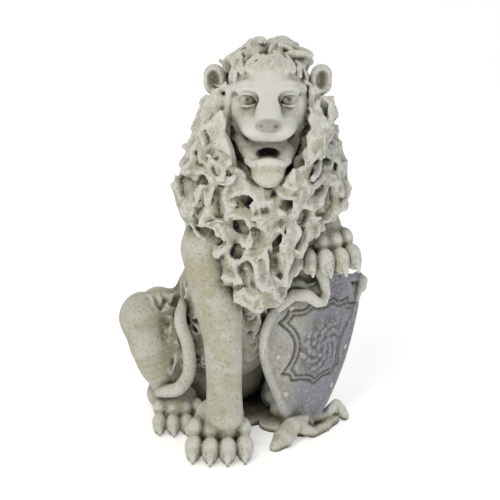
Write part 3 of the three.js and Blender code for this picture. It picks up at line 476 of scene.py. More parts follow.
def shield_scrolls():
    """On the left the top edge curls forward and stands up as a flap. The right corner ends in a scroll."""
    lip = [
        (-104, 226, 0, 9), (-93, 254, 8, 11), (-76, 258, 16, 11), (-58, 247, 19, 9),
        (-43, 247, 16, 8), (-37, 262, 12, 8), (-45, 286, 8, 10), (-55, 308, 2, 12),
    ]
    knob = [(88, 226, 0, 8), (88, 252, 2, 9), (84, 270, 4, 10), (75, 273, 12, 9), (72, 260, 15, 8)]
    brow = [(-40, 262, 0, 7), (-6, 280, -3, 7), (40, 280, -3, 7), (84, 270, 0, 8)]
    return [
        chain([on_shield(a, b, d) for a, b, d, r in knots], [r for a, b, d, r in knots])
        for knots in (lip, knob, brow)
    ]


def shield_foot():
    """A leaf that turns left, a volute that turns right and a ribbon along the ground between them."""

    def at(w, d, z):
        p = SHIELD_FOOT + SHIELD_ASIDE * w + SHIELD_FRONT * d
        return point(p[0], p[1], z)

    top = FOOT_HEIGHT
    leaf = [at(-14, 2, top + 6), at(-50, 6, top + 4), at(-74, 8, top * 0.6), at(-98, 10, 6)]
    ribbon = [at(-30, 10, top), at(-2, 18, 8), at(40, 14, 6), at(74, 2, 8)]
    volute = [at(20, -6, top), at(60, -4, top * 0.7), at(86, 4, top + 12), at(98, 8, top - 2), at(108, 8, 8)]
    return [
        chain([at(0, -14, top + 16), at(0, -12, top * 0.4)], [20, 26]),
        chain(leaf, [13, 17, 19, 11]),
        chain(ribbon, [12, 10, 10, 10]),
        chain(volute, [12, 10, 9, 9, 9]),
    ]


def lobe(x0, y0, across, along):
    """A low rounded slab of ground."""

    def distance(x, y, z):
        beside = (np.hypot((x - x0) / across, (y - y0) / along) - 1) * min(across, along)
        return np.maximum(np.maximum(beside, z - GROUND_THICKNESS), -8 - z).astype(np.float32)

    return Shape((x0 - across, y0 - along, -8), (x0 + across, y0 + along, GROUND_THICKNESS), distance)


# The head looks to the lion's right. a runs to the right as seen from the front, b forwards and c up.
HEAD_AT = point(3, -15, 640)
HEAD_ASIDE = point(math.cos(HEAD_TURN), math.sin(HEAD_TURN), 0)
HEAD_AHEAD = point(math.sin(HEAD_TURN), -math.cos(HEAD_TURN), 0)


def on_head(a, b, c):
    return HEAD_AT + HEAD_ASIDE * a + HEAD_AHEAD * b + point(0, 0, c)


def head_ball(a, b, c, ra, rb, rc):
    return ball(on_head(a, b, c), (ra, rb, rc), (0, 0, math.degrees(HEAD_TURN)))


def head_tube(knots, steps=None):
    points = [on_head(a, b, c) for a, b, c, r in knots]
    radii = [r for a, b, c, r in knots]
    return chain(points, radii) if steps is None else tube(points, radii, steps)


def on_side(side, knots):
    """Knots given for the head's right-hand half, put on either side."""
    return [(side * a, b, c, r) for a, b, c, r in knots]


def head_masses():
    shapes = [
        (head_ball(0, -10, 2, 66, 68, 70), 10),
        (head_ball(0, 34, 24, 54, 32, 32), 14),
        (head_ball(0, 48, -38, 50, 44, 34), 14),
        (head_ball(0, 45, -80, 37, 30, 27), 8),
        (head_tube([(0, 56, 36, 16), (0, 72, 6, 13), (0, 97, -27, 12)]), 10),
        (head_tube([(0, 30, -104, 26), (0, 64, -120, 25), (0, 76, -122, 20)]), 10),
    ]
    bridge = [(17, 50, 32, 15), (11, 64, 14, 13), (8, 76, -4, 11), (8, 97, -28, 11)]
    brow = [(14, 66, 19, 8), (34, 65, 23, 9), (56, 42, 15, 8)]
    jaw = [(48, 20, -60, 14), (38, 42, -84, 11), (26, 64, -102, 10)]
    for side in (-1, 1):
        shapes += [
            (head_tube(on_side(side, bridge)), 10),
            (head_ball(side * 46, 26, -18, 24, 36, 42), 14),
            (head_ball(side * 17, 82, -47, 25, 25, 16), 18),
            (head_tube(on_side(side, brow)), 6),
            (head_tube(on_side(side, jaw)), 12),
        ]
    return shapes


def head_hollows():
    """The open mouth, the eye sockets and the ears' cups."""
    shapes = [
        (head_tube([(-13, 92, -91, 6), (0, 98, -86, 9), (13, 92, -91, 6)]), 3),
        (head_ball(0, 78, -89, 20, 34, 11), 4),
    ]
    for side in (-1, 1):
        shapes += [
            (head_ball(side * 34, 75, -1, 21, 14, 13), 4),
            (head_ball(side * 91, 14, 26, 12, 18, 19), 3),
        ]
    return shapes


def ears():
    knots = ((76, -8, 2, 12), (88, -4, 20, 20), (90, -6, 34, 18))
    return [(head_tube(on_side(side, knots)), 5) for side in (-1, 1)]


def face_relief(side):
    """Fine forms of one half of the face: (shape, softness, raised or cut)."""

    def strip(knots, steps=5):
        return head_tube(on_side(side, knots), steps)

    upper_lid = [
        (17, 62, -6, 1.8), (25, 68, 6.5, 2.2), (35, 69, 9.5, 2.6), (46, 62, 6.5, 2.2), (54, 53, -3, 1.8),
    ]
    lower_lid = [
        (17, 62, -6, 1.8), (26, 66, -9.5, 2.2), (36, 67, -11, 2.6), (46, 60, -9, 2.2), (54, 53, -4, 1.8),
    ]
    return [
        (head_ball(side * 34, 52, 0, 16, 14.5, 13), 1, 1),
        (strip(upper_lid), 1.5, 1),
        (strip(lower_lid), 1.5, 1),
        (strip([(18, 66, 1, 2), (26, 69, 12, 2.4), (37, 68, 14.5, 2.6), (49, 60, 10, 2.2)]), 3, 1),
        (strip([(19, 74, 15, 3), (34, 76, 19, 4), (51, 61, 14, 3)]), 4, 1),
        (head_ball(side * 34, 67, -0.5, 5, 5, 5), 0.6, -1),
        (head_ball(side * 16, 117, -39, 7.5, 7, 4.6), 2, -1),
        (strip([(2, 103, -65, 4), (16, 101, -67, 4.5), (30, 89, -64, 4), (42, 71, -56, 2.5)]), 3, -1),
        (strip([(24, 100, -50, 1.2), (34, 93, -47, 1.4)]), 3, -1),
        (strip([(16, 60, 34, 2.5), (20, 66, 24, 3.5), (18, 70, 14, 2)]), 5, -1),
    ]


def middle_relief():
    """The nose leather, the philtrum, the lower lip, the chin and the tongue."""
    lip = [(35, 66, -102, 3.5), (27, 79, -103.5, 5), (14, 89, -101, 6), (0, 93, -98, 6.5)]
    lip = on_side(-1, lip) + lip[-2::-1]
    return [
        (head_ball(0, 102, -36, 25, 17, 10), 3, 1),
        (head_ball(0, 109, -44, 11, 10, 8), 6, 1),
        (head_tube([(-21, 104, -26, 1.4), (0, 120, -23, 1.6), (21, 104, -26, 1.4)], 4), 3, -1),
        (head_tube([(0, 124, -47, 1.6), (0, 117, -54, 2.4), (0, 110, -62, 2.4)]), 2, -1),
        (head_tube(lip, 4), 7, 1),
        (head_ball(0, 78, -121, 25, 18, 17), 16, 1),
        (head_tube([(-20, 96, -111, 1.6), (0, 102, -108, 2), (20, 96, -111, 1.6)], 5), 3, -1),
        (head_ball(0, 60, -99, 14, 24, 5), 2, 1),
    ]


COLLAR = [
    (-66, -6, 30, 14), (-74, 22, -15, 20), (-68, 38, -62, 24), (-46, 44, -108, 26), (0, 42, -146, 26),
    (46, 44, -108, 26), (68, 38, -62, 24), (74, 22, -15, 20), (66, -6, 30, 14),
]

# The mane: rounded masses round the head and chest that the walls of hair and the locks are laid on.
MANE_BASE = [
    (head_ball(0, -30, 2, 66, 60, 70), 30),
    (ball(point(11, 24, 552), (119, 78, 84)), 40),
    (ball(point(5, 18, 474), (138, 88, 88)), 40),
    (ball(point(-10, -12, 380), (70, 50, 60), (-16, 0, 0)), 40),
    (ball(point(-18, -26, 324), (38, 32, 36)), 30),
    (head_tube(COLLAR, 3), 20),
]
LOCK_THIN, LOCK_SOFT = 0.66, 3
MANE_BOX = (-175, -125, 265), (185, 140, 755)
MANE_REACH = 46
# The walls of hair wander by WARP round hollows CURL wide and CURL_TALL times as tall. They fall off over
# CURL_WALL from AMPLITUDE high, all of it stands RISE out, and the hollows are HOLLOW deep.
WARP, CURL, CURL_TALL, CURL_WALL, AMPLITUDE, RISE, HOLLOW = 17, 37, 1.3, 17, 19, 2, 11
CROWN_LOCKS = [(12, 6), (40, 2), (58, -8), (-24, -2), (14, -40), (-16, -50)]
HAIRLINE_LOCKS = 30
FACE_CENTRE = on_head(0, 70, -30)


class Skin:
    """A smooth closed mass that locks of hair are laid on."""

    def __init__(self, parts):
        self.parts = parts

    def distance(self, p):
        d = np.full(len(p), 1e3)
        for shape, soft in self.parts:
            d = soft_min(d, shape.distance(p[:, 0], p[:, 1], p[:, 2]), soft)
        return d

    def normal(self, p, step=2.0):
        axes = [self.distance(p + e) - self.distance(p - e) for e in np.eye(3) * step]
        return unit(np.stack(axes, axis=1))

    def settle(self, p, height):
        for _ in range(4):
            p = p + self.normal(p) * (height - self.distance(p))[:, None]
        return p


def lay_locks(skin, roots, first, length, girth, lift, fall, swing, hook):
    """Knots, normals and radii of one lock for each root. first is the number of the first draw of chance."""
    n = np.arange(len(roots)) + first
    out = skin.normal(roots)
    away = unit(roots - FACE_CENTRE) * 0.55 + point(0, 0, -1) * np.reshape(fall, (-1, 1))
    away += np.stack([chance(n) - 0.5, chance(n + 500) - 0.5, 0 * n], axis=1) * 0.7
    flow = unit(away - out * np.sum(away * out, axis=1, keepdims=True))
    long = length * (0.8 + 0.4 * chance(n + 900))
    bend = np.where(chance(n + 1300) < 0.5, -1.0, 1.0)
    phase = 2.2 * chance(n + 1700)
    curl = hook * (0.7 + 0.6 * chance(n + 2100))
    last = 12
    p = roots - flow * (0.32 * long)[:, None]
    knots, normals, radii = [], [], []
    for k in range(last + 1):
        t = k / last
        p = skin.settle(p, lift * (0.25 + 0.75 * math.sin(math.pi * (0.08 + 0.62 * t))) + 0.6 * girth * t**3)
        out = skin.normal(p)
        knots.append(p)
        normals.append(out)
        radii.append(girth * (0.55 + 0.45 * math.sin(math.pi * min(1.0, 0.15 + 0.85 * t))) * (1 - 0.25 * t))
        flow = unit(flow - out * np.sum(flow * out, axis=1, keepdims=True))
        turn = bend * (swing * np.cos(4.6 * t + phase) - curl * t**2.5)
        ahead = flow * np.cos(turn)[:, None] + np.cross(out, flow) * np.sin(turn)[:, None]
        p = p + ahead * (long / last)[:, None]
    size = 0.85 + 0.3 * chance(n + 2500)
    return [
        (np.array([q[i] for q in knots]), np.array([q[i] for q in normals]), np.array(radii) * size[i])
        for i in range(len(roots))
    ]


def on_face(p, margin):
    """Whether each place is on the bare face or an ear. margin below 1 draws their edges in."""
    from_head = p - HEAD_AT
    a, b, c = from_head @ HEAD_ASIDE, from_head @ HEAD_AHEAD, from_head[:, 2]
    face = (a / 76) ** 2 + ((c + 42) / 110) ** 2 < margin
    ear = np.hypot(np.abs(a) - 88, c - 24) < 34 * margin
    return (b > -20) & (face | ear)


def mane_locks():
    """The locks along the hairline, the fringe over the brow and the locks on the crown."""
    skin = Skin(MANE_BASE)
    turn = 2 * math.pi * (np.arange(HAIRLINE_LOCKS) + 0.5) / HAIRLINE_LOCKS
    turn = turn[np.abs(np.abs(math.pi - turn) - 1.95) >= 0.3]
    upper = np.maximum(0, np.cos(turn))
    ring = [on_head(80 * math.sin(a), 30, -40 + (112 - 14 * u) * math.cos(a)) for a, u in zip(turn, upper)]
    ring = skin.settle(np.array(ring), 2)
    locks = lay_locks(skin, ring, 3000, length=62, girth=11, lift=11, fall=0.3, swing=0.7, hook=3.0)
    locks = [lock for lock in locks if not on_face(lock[0], 0.78).any()]
    brow = Skin([(head_ball(0, 34, 24, 54, 32, 32), 14), (head_ball(0, -8, 2, 66, 66, 66), 20), MANE_BASE[0]])
    across = np.linspace(-1, 1, 13)
    fringe = brow.settle(np.array([on_head(60 * a, 52 - 30 * a * a, 62 - 28 * a * a) for a in across]), 0)
    locks += lay_locks(brow, fringe, 5000, length=44, girth=7.5, lift=6, fall=-0.5, swing=0.45, hook=0.9)
    crown = skin.settle(np.array([on_head(a, b, 90) for a, b in CROWN_LOCKS]), 8)
    return locks + lay_locks(skin, crown, 7000, length=50, girth=14, lift=22, fall=0, swing=0.6, hook=3.4)


def blend_locks(field, locks):
    """Each lock is a ribbon with a groove along it, rounded into the mass that it lies on."""
    for i, (points, normals, radii) in enumerate(locks):
        ribbon = chain(points, radii, thin=LOCK_THIN, normals=normals)
        along = np.gradient(points, axis=0)
        aside = unit(np.cross(normals, along)) * (0.9 * (chance(i + 6000) - 0.5) * radii)[:, None]
        top = points + normals * (radii * 0.8)[:, None] + aside
        groove = chain(top[1:-1], radii[1:-1] * 0.5)
        field.blend(Shape(ribbon.low, ribbon.high, grooved(ribbon, groove)), LOCK_SOFT)


def grooved(ribbon, groove):
    return lambda x, y, z: -soft_min(-ribbon.distance(x, y, z), groove.distance(x, y, z), np.float32(3))


def comb_mane(field):
    """Under the locks the mane is winding walls of hair round deep hollows, taller than they are wide."""
    part, axes = field.window(Shape(*MANE_BOX, None), 0)
    values = field.values[part]
    skin = np.full(values.shape, 1e3, dtype=np.float32)
    for shape, soft in MANE_BASE:
        skin = soft_min(skin, shape.distance(*axes), soft)
    x, y, z = (np.broadcast_to(axis, values.shape) for axis in axes)
    values[skin < -30] = -30
    near = np.abs(skin) < MANE_REACH
    x, y, z, skin = x[near], y[near], z[near], skin[near]
    bend, strand, cells = Noise(3), Noise(23), Cells(11)
    starts = ((3.1, 0, 0), (12.1, 4, 0), (3.1, 7, 13))
    shift = [WARP * bend(x / 46 + a, y / 46 + b, z / 46 + c) for a, b, c in starts]
    u, v, w = x + shift[0], y + shift[1], z + 1.2 * shift[2]
    first, second = cells(u / CURL, v / CURL, w / (CURL_TALL * CURL))
    wall = CURL * (second - first)
    crest = np.maximum(0, 1 - (wall / CURL_WALL) ** 2) ** 0.7
    gate = soft_step(-0.45, 0.0, strand(x / 31 + 5, y / 31, z / 37))
    clump = bend(x / 90 + 20, y / 90, z / 120)
    swell = 0.78 + 0.5 * strand(x / 26, y / 26 + 9, z / 26)
    lines = 1.2 * np.cos(wall * (2 * math.pi / 7)) + 2.5 * strand(x / 9, y / 9, z / 24)
    height = AMPLITUDE * swell * gate * crest + lines + RISE + 5 * clump
    height -= HOLLOW * soft_step(0.7 * CURL_WALL, 1.5 * CURL_WALL, wall)
    dx, dy, up = x - HEAD_AT[0], y - HEAD_AT[1], z - HEAD_AT[2]
    across = dx * HEAD_ASIDE[0] + dy * HEAD_ASIDE[1]
    ahead = dx * HEAD_AHEAD[0] + dy * HEAD_AHEAD[1]
    hem = 0.16 * strand(x / 24, y / 24, z / 24 + 40)
    bare = 1 - soft_step(0.95, 1.1, hem + np.sqrt((across / 64) ** 2 + ((up + 46) / 90) ** 2))
    bare *= soft_step(-35, -5, ahead)
    ear = np.sqrt((np.abs(across) - 90) ** 2 + (ahead / 1.2) ** 2 + (up - 30) ** 2)
    bare = np.maximum(bare, 1 - soft_step(22, 38, ear))
    height -= 40 * bare
    values[near] = soft_min(values[near], skin - height.astype(np.float32), np.float32(3))
    field.values[part] = values


# Where the body is shaggy: the middle of each patch and its reach.
SHAGGY = [
    ((-122, 176, 262), 46), ((-100, 150, 200), 44), ((-96, 150, 120), 46), ((-108, 172, 30), 44),
    ((10, 40, 250), 74), ((44, 60, 190), 60), ((150, 190, 200), 70), ((0, 330, 90), 90), ((106, 172, 30), 50),
]


def ruffle(field):
    """Short shaggy hair on the belly, the flanks and the hind feet."""
    coarse, fine = Noise(31), Noise(37)
    for centre, reach in SHAGGY:
        centre = point(*centre)
        part, (x, y, z) = field.window(Shape(centre - reach, centre + reach, None), 0)
        far = np.sqrt((x - centre[0]) ** 2 + (y - centre[1]) ** 2 + (z - centre[2]) ** 2) / reach
        x, y, z = (np.broadcast_to(axis, far.shape) for axis in (x, y, z))
        tufts = 1 - np.abs(coarse(x / 20, y / 20, z / 34 + coarse(x / 30, y / 30, z / 30))) / 0.35
        tufts = np.clip(tufts, -1, 1) * 6 + 2 * fine(x / 7, y / 7, z / 16)
        field.values[part] -= ((1 - soft_step(0.6, 1.0, far)) * tufts).astype(np.float32)


FIELD_BOX = (-216, -128, -12), (258, 372, 768)


def carve_figure(cell):
    field = Field(*FIELD_BOX, cell)
    for shape, soft in body_masses() + hind_leg(1) + hind_leg(-1) + fore_leg() + raised_leg():
        field.blend(shape, soft)
    ruffle(field)
    comb_mane(field)
    for shape, soft in head_masses():
        field.blend(shape, soft)
    blend_locks(field, mane_locks())
    for shape, soft in ears():
        field.blend(shape, soft)
    for shape, soft in head_hollows():
        field.carve(shape, soft)
    for shape, soft, sign in middle_relief() + face_relief(1) + face_relief(-1):
        if sign > 0:
            field.blend(shape, soft)
        else:
            field.carve(shape, soft)
    field.blend(shield_plate(), 2)
    for shape in shield_rim() + shield_scrolls():
        field.blend(shape, 2)
    for shape in shield_foot():
        field.blend(shape, 4)
    paws = paw(point(-70, 31, 0), -20, 1.1)
    paws += paw(point(-106, 178, 0), -12, 0.92) + paw(point(106, 178, 0), 12, 0.92)
    paws += paw(on_shield(-22, SHIELD_HEIGHT + 6, -36), 2, 1.06, drop=8)
    for shape, soft in paws:
        field.blend(shape, soft)
    field.blend(tail(), 3)
    field.blend(lobe(0, 236, 128, 125), 3)
    field.blend(lobe(SHIELD_FOOT[0] + 10, SHIELD_FOOT[1] + 56, 80, 52), 3)
    return field


def mesh_from_field(field):
    """The surface where the field is zero, above the ground, with a flat underside."""
    z = field.low[2] + field.cell * np.arange(field.count[2])
    values = np.maximum(field.values, -z[None, None, :].astype(np.float32))
    values = np.clip(values, -3 * field.cell, 3 * field.cell).astype(np.float32)
    grid = openvdb.FloatGrid(3 * field.cell)
    grid.copyFromArray(values)
    points, quads = grid.convertToQuads(0.0)
    points, quads = without_crumbs(points, quads)
    return points * field.cell + field.low, quads


def without_crumbs(points, faces):
    """Keeps the biggest joined body and drops loose crumbs of hair."""
    label = np.arange(len(points))
    while True:
        low = label[faces].min(axis=1)
        lower = label.copy()
        np.minimum.at(lower, faces.ravel(), np.repeat(low, faces.shape[1]))
        lower = lower[lower[lower]]
        if (lower == label).all():
            break
        label = lower
    kept = faces[label[faces[:, 0]] == np.argmax(np.bincount(label))]
    used, numbers = np.unique(kept, return_inverse=True)
    return points[used], numbers.reshape(kept.shape)


def blurred(values, reach):
    """Three running means along each axis, which come close to a round blur."""
    for axis in (0, 1, 2) * 3:
        padded = np.pad(values, [(reach + 1, reach) if k == axis else (0, 0) for k in range(3)], mode="edge")
        sums = np.cumsum(padded, axis=axis, dtype=np.float32)
        ahead = np.take(sums, range(2 * reach + 1, sums.shape[axis]), axis=axis)
        behind = np.take(sums, range(sums.shape[axis] - 2 * reach - 1), axis=axis)
        values = (ahead - behind) / (2 * reach + 1)
    return values


def sampled(values, low, step, points):
    """The values of a grid at points, read between its cells."""
    at = np.clip((points - low) / step, 0, np.array(values.shape) - 1.001)
    first = at.astype(int)
    part = at - first
    total = 0.0
    for corner in np.ndindex(2, 2, 2):
        share = np.prod([part[:, k] if corner[k] else 1 - part[:, k] for k in range(3)], axis=0)
        total = total + share * values[tuple((first + corner).T)]
    return total


def recess_map(field, points, reach):
    """How deep each point lies: 0 on a flat, towards 1 in a gap, below 0 on an edge. reach is in mm."""
    stride = max(1, round(3.6 / field.cell))
    step = field.cell * stride
    solid = np.clip(0.5 - field.values[::stride, ::stride, ::stride] / step, 0, 1).astype(np.float32)
    ground = field.low[2] + step * np.arange(solid.shape[2]) < 0
    solid[:, :, ground] = 1
    return 2 * sampled(blurred(solid, max(1, round(reach / step))), field.low, step, points) - 1


def shield_shade_share(points):
    """How much blue-grey painted shade the shield takes: up to 1 on its face, 0 elsewhere, and down to 0.4 on
    its left part, where light falls.
    """
    w, h, out = in_shield(points[:, 0], points[:, 1], points[:, 2])
    inside = (np.abs(w) < SHIELD_WIDTH * 0.5) & (h > -4) & (h < SHIELD_HEIGHT)
    return inside * (1 - soft_step(4, 8, np.abs(out))) * (0.4 + 0.6 * soft_step(-80, -20, w))


# Where shade is painted on the face, darkening the nose leather, the mouth, the nostrils, the pupils and round
# the eyes: middle, half sizes and share, on the head's own axes.
FACE_PAINTED_SHADE = [
    ((0, 112, -38), (24, 20, 12), 0.6), ((0, 80, -80), (38, 34, 15), 0.6),
    ((15, 119, -38), (7, 9, 5), 0.95), ((-15, 119, -38), (7, 9, 5), 0.95),
    ((34, 68, -0.5), (5.5, 7, 5.5), 0.9), ((-34, 68, -0.5), (5.5, 7, 5.5), 0.9),
    ((34, 62, 1), (19, 12, 12), 0.3), ((-34, 62, 1), (19, 12, 12), 0.3),
]


def grime_and_shade_share(points):
    """How much dirt is held in the cut lines of the shield, how much the bed between its leaves is darkened,
    and how much painted shade darkens the nose, the mouth and the eyes.
    """
    w, h, out = in_shield(points[:, 0], points[:, 1], points[:, 2])
    height = shield_relief(w, h)
    bed = np.hypot((w - WREATH_AT[0]) / WREATH[0], (h - WREATH_AT[1]) / WREATH[1]) < 1.05
    share = np.clip(-height / 2.2, 0, 1) + 0.6 * bed * (height < 1.2)
    share = share * (np.abs(out) < 8)
    from_head = points - HEAD_AT
    places = np.stack([from_head @ HEAD_ASIDE, from_head @ HEAD_AHEAD, from_head[:, 2]], axis=1)
    for middle, half, most in FACE_PAINTED_SHADE:
        far = np.linalg.norm((places - middle) / half, axis=1)
        share = np.maximum(share, most * (1 - soft_step(0.8, 1.1, far)))
    return share


def add(tree, kind, inputs=None, **settings):
    """Adds a node, sets it, and sets or links its inputs by name or number."""
    node = tree.nodes.new(kind)
    for name, value in settings.items():
        setattr(node, name, value)
    for key, value in (inputs or {}).items():
        if isinstance(value, bpy.types.NodeSocket):
            tree.links.new(value, node.inputs[key])
        else:
            node.inputs[key].default_value = value
    return node


def linear(colour):
    """An sRGB hex colour as linear red, green, blue and full alpha."""
    shares = [int(colour[k : k + 2], 16) / 255 for k in (1, 3, 5)]
    return [c / 12.92 if c <= 0.04045 else ((c + 0.055) / 1.055) ** 2.4 for c in shares] + [1.0]


def to_hex(colour):
    """A colour property's sRGB values as hex."""
    return "#" + "".join(f"{round(255 * c):02x}" for c in colour[:3])


def from_hex(colour):
    return tuple(int(colour[k : k + 2], 16) / 255 for k in (1, 3, 5))


def cast_stone(colours):
    """Cast stone: cement and fine grit tamped in a mould, so matt and grainy all through.

    Rain has washed its edges pale, and they carry a painted highlight too. Dirt and thin algae stay in the
    hollows, which are also darkened as painted shade, with painted shadow at the bottom of the deepest gaps;
    blue-grey painted shade lies on the shield's face, and painted shade darkens the nose, the mouth and the
    eyes.
    """
    material = bpy.data.materials.new("cast_stone_weathered")
    material.use_nodes = True
    tree = material.node_tree
    tree.nodes.clear()
    spot = add(tree, "ShaderNodeTexCoord").outputs["Object"]

    def attribute(name):
        return add(tree, "ShaderNodeAttribute", attribute_name=name).outputs["Fac"]

    def paint(name):
        return linear(to_hex(getattr(colours, name)))

    def noise(size_mm, detail=4.0, rough=0.6):
        inputs = {"Vector": spot, "Scale": 1 / (size_mm * MM), "Detail": detail, "Roughness": rough}
        return add(tree, "ShaderNodeTexNoise", inputs).outputs["Fac"]

    def ramp(value, low, high, to_low=0.0, to_high=1.0):
        inputs = {0: value, 1: low, 2: high, 3: to_low, 4: to_high}
        return add(tree, "ShaderNodeMapRange", inputs, interpolation_type="SMOOTHSTEP").outputs["Result"]

    def math_node(operation, a, b):
        return add(tree, "ShaderNodeMath", {0: a, 1: b}, operation=operation, use_clamp=True).outputs[0]

    def mixed(share, a, b):
        return add(tree, "ShaderNodeMix", {0: share, 6: a, 7: b}, data_type="RGBA").outputs[2]

    names = ("recess_narrow", "recess_wide", "shield", "face", "grime")
    narrow, wide, shield, face, grime = [attribute(name) for name in names]
    stone = mixed(ramp(noise(45), 0.38, 0.62), paint("stone"), paint("warm_stone"))
    stone = mixed(math_node("MULTIPLY", face, 0.8), stone, paint("washed_stone_and_highlight"))
    # Convex edges are mixed paler: rain wash, with a painted highlight.
    edge = math_node("MULTIPLY", ramp(narrow, -0.02, -0.25), 0.8)
    stone = mixed(edge, stone, paint("washed_stone_and_highlight"))
    # Painted shade: the shield's face is mixed towards blue-grey, less on its lit left part.
    stone = mixed(math_node("MULTIPLY", shield, 0.85), stone, paint("shield_painted_shade"))
    patchy = ramp(noise(20, 6.0, 0.65), 0.3, 0.65, 0.35, 1.0)
    # Wide hollows are darkened in patches: olive algae, with painted shade.
    algae_and_shade = math_node("MULTIPLY", ramp(wide, -0.15, 0.24), patchy)
    coloured = mixed(math_node("MULTIPLY", algae_and_shade, 0.85), stone, paint("algae_and_shade"))
    # Narrow gaps and pits are darkened: dirt, with painted shade.
    dirt_and_shade = math_node("MULTIPLY", ramp(narrow, 0.04, 0.36), ramp(noise(9, 5.0, 0.7), 0.25, 0.6, 0.6, 1.0))
    coloured = mixed(math_node("MULTIPLY", dirt_and_shade, 0.9), coloured, paint("dirt_and_shade"))
    # Dirt in the shield's cut lines, and painted shade on the nose, the mouth and the eyes.
    coloured = mixed(math_node("MULTIPLY", grime, 0.8), coloured, paint("dirt_and_shade"))
    # Painted shadow: the deepest gaps are mixed nearly to black.
    gap = ramp(math_node("ADD", narrow, wide), 0.6, 1.1)
    coloured = mixed(gap, coloured, paint("deep_gap_shadow"))
    patches = math_node("MULTIPLY", ramp(noise(30), 0.3, 0.65, 0.25, 0.6), ramp(face, 0.0, 1.0, 1.0, 0.15))
    speck = math_node("MULTIPLY", ramp(noise(5, 5.0, 0.75), 0.5, 0.68), patches)
    coloured = mixed(speck, coloured, paint("dirt_and_shade"))
    scuff = math_node("MULTIPLY", ramp(noise(7, 5.0, 0.75), 0.52, 0.7), 0.5)
    coloured = mixed(scuff, coloured, paint("washed_stone_and_highlight"))
    grit = noise(1.8, 3.0, 0.75)
    pits = add(tree, "ShaderNodeTexVoronoi", {"Vector": spot, "Scale": 1 / (5.0 * MM)}).outputs["Distance"]
    pit = ramp(pits, 0.0, 0.32)
    relief = math_node("ADD", math_node("MULTIPLY", grit, 0.45), math_node("MULTIPLY", pit, 0.35))
    bump = add(tree, "ShaderNodeBump", {"Strength": 0.55, "Distance": 1.0 * MM, "Height": relief})
    inputs = {"Base Color": coloured, "Roughness": ramp(grit, 0.2, 0.8, 0.82, 0.97), "IOR": 1.5}
    inputs["Normal"] = bump.outputs["Normal"]
    shader = add(tree, "ShaderNodeBsdfPrincipled", inputs)
    add(tree, "ShaderNodeOutputMaterial", {"Surface": shader.outputs[0]})
    return material


def stage_paper():
    """Plain matt paper for the floor and the backdrop."""
    material = bpy.data.materials.new("backdrop_paper")
    material.use_nodes = True
    tree = material.node_tree
    tree.nodes.clear()
    glow = {"Emission Color": linear("#ffffff"), "Emission Strength": 0.4}
    shader = add(tree, "ShaderNodeBsdfPrincipled", {"Base Color": linear("#f4f4f2"), "Roughness": 0.95, **glow})
    add(tree, "ShaderNodeOutputMaterial", {"Surface": shader.outputs[0]})
    return material


def colour_prop(name, description, colour):
    look = {"subtype": "COLOR_GAMMA", "size": 3, "min": 0, "max": 1}
    return bpy.props.FloatVectorProperty(name=name, description=description, default=from_hex(colour), **look)


def number_prop(name, description, default, **kind):
    return bpy.props.FloatProperty(name=name, description=description, default=default, **kind)


def length_prop(name, description, millimetres):
    return number_prop(name, description, millimetres * MM, subtype="DISTANCE")


class LionSizes(bpy.types.PropertyGroup):
    cell: length_prop("Cell", "Spacing of the field that the casting is carved in", 1.8)
    triangles: bpy.props.IntProperty(
        name="Triangles", description="Triangles kept in the casting", default=196000
    )
    unevenness: length_prop("Unevenness", "How far the cast skin strays in and out", 0.9)
    unevenness_width: length_prop("Unevenness width", "Width of the swells in the skin", 11)
    stud_radius: length_prop("Stud radius", "Radius of the studs on the shield", 5.5)


class LionColours(bpy.types.PropertyGroup):
    stone: colour_prop("Stone", "Sound cast stone", "#b6b6ab")
    warm_stone: colour_prop("Warm stone", "Yellower patches of the mix", "#a7a48e")
    # Pale washed stone for the face and scuffs, and a painted highlight on edges.
    washed_stone_and_highlight: colour_prop("Washed stone", "Edges and the face, washed pale by rain, with a painted highlight on the edges", "#d0d0c9")
    # Blue-grey painted shade for the shield's face.
    shield_painted_shade: colour_prop("Shield shade", "Blue-grey painted shade on the shield's face", "#7c7e8a")
    # Olive algae colour, also used for painted shade in wide hollows.
    algae_and_shade: colour_prop("Algae", "Thin olive algae in the hollows", "#605e46")
    # Dirt colour, also used for painted shade in narrow gaps and on the face.
    dirt_and_shade: colour_prop("Dirt", "Dirt and painted shade in narrow gaps and pits", "#48432f")
    # Near-black painted shadow for the deepest gaps.
    deep_gap_shadow: colour_prop("Deep gap", "Painted shadow at the bottom of the deepest gaps", "#1c1814")


class StudioSettings(bpy.types.PropertyGroup):
    key_power: number_prop("Key light", "Power of the key light", 38, unit="POWER")
    fill_power: number_prop("Fill light", "Power of the fill light", 10, unit="POWER")
    world_strength: number_prop("Surroundings", "Strength of the white surroundings", 0.5)
    focal_length: number_prop("Focal length", "Of the camera, in millimetres", 89)


def plain_mesh(name, points, faces):
    mesh = bpy.data.meshes.new(name)
    mesh.from_pydata(np.asarray(points).tolist(), [], np.asarray(faces).tolist())
    mesh.validate()
    return mesh


def placed(name, mesh):
    piece = bpy.data.objects.new(name, mesh)
    bpy.context.scene.collection.objects.link(piece)
    return piece


def settled_mesh(piece):
    """Turns a piece with modifiers into a plain mesh."""
    mesh = bpy.data.meshes.new_from_object(piece.evaluated_get(bpy.context.evaluated_depsgraph_get()))
    piece.modifiers.clear()
    piece.data = mesh
    return mesh


def set_input(modifier, name, value):
    items = modifier.node_group.interface.items_tree
    (socket,) = [s for s in items if s.item_type == "SOCKET" and s.in_out == "INPUT" and s.name == name]
    modifier[socket.identifier] = value


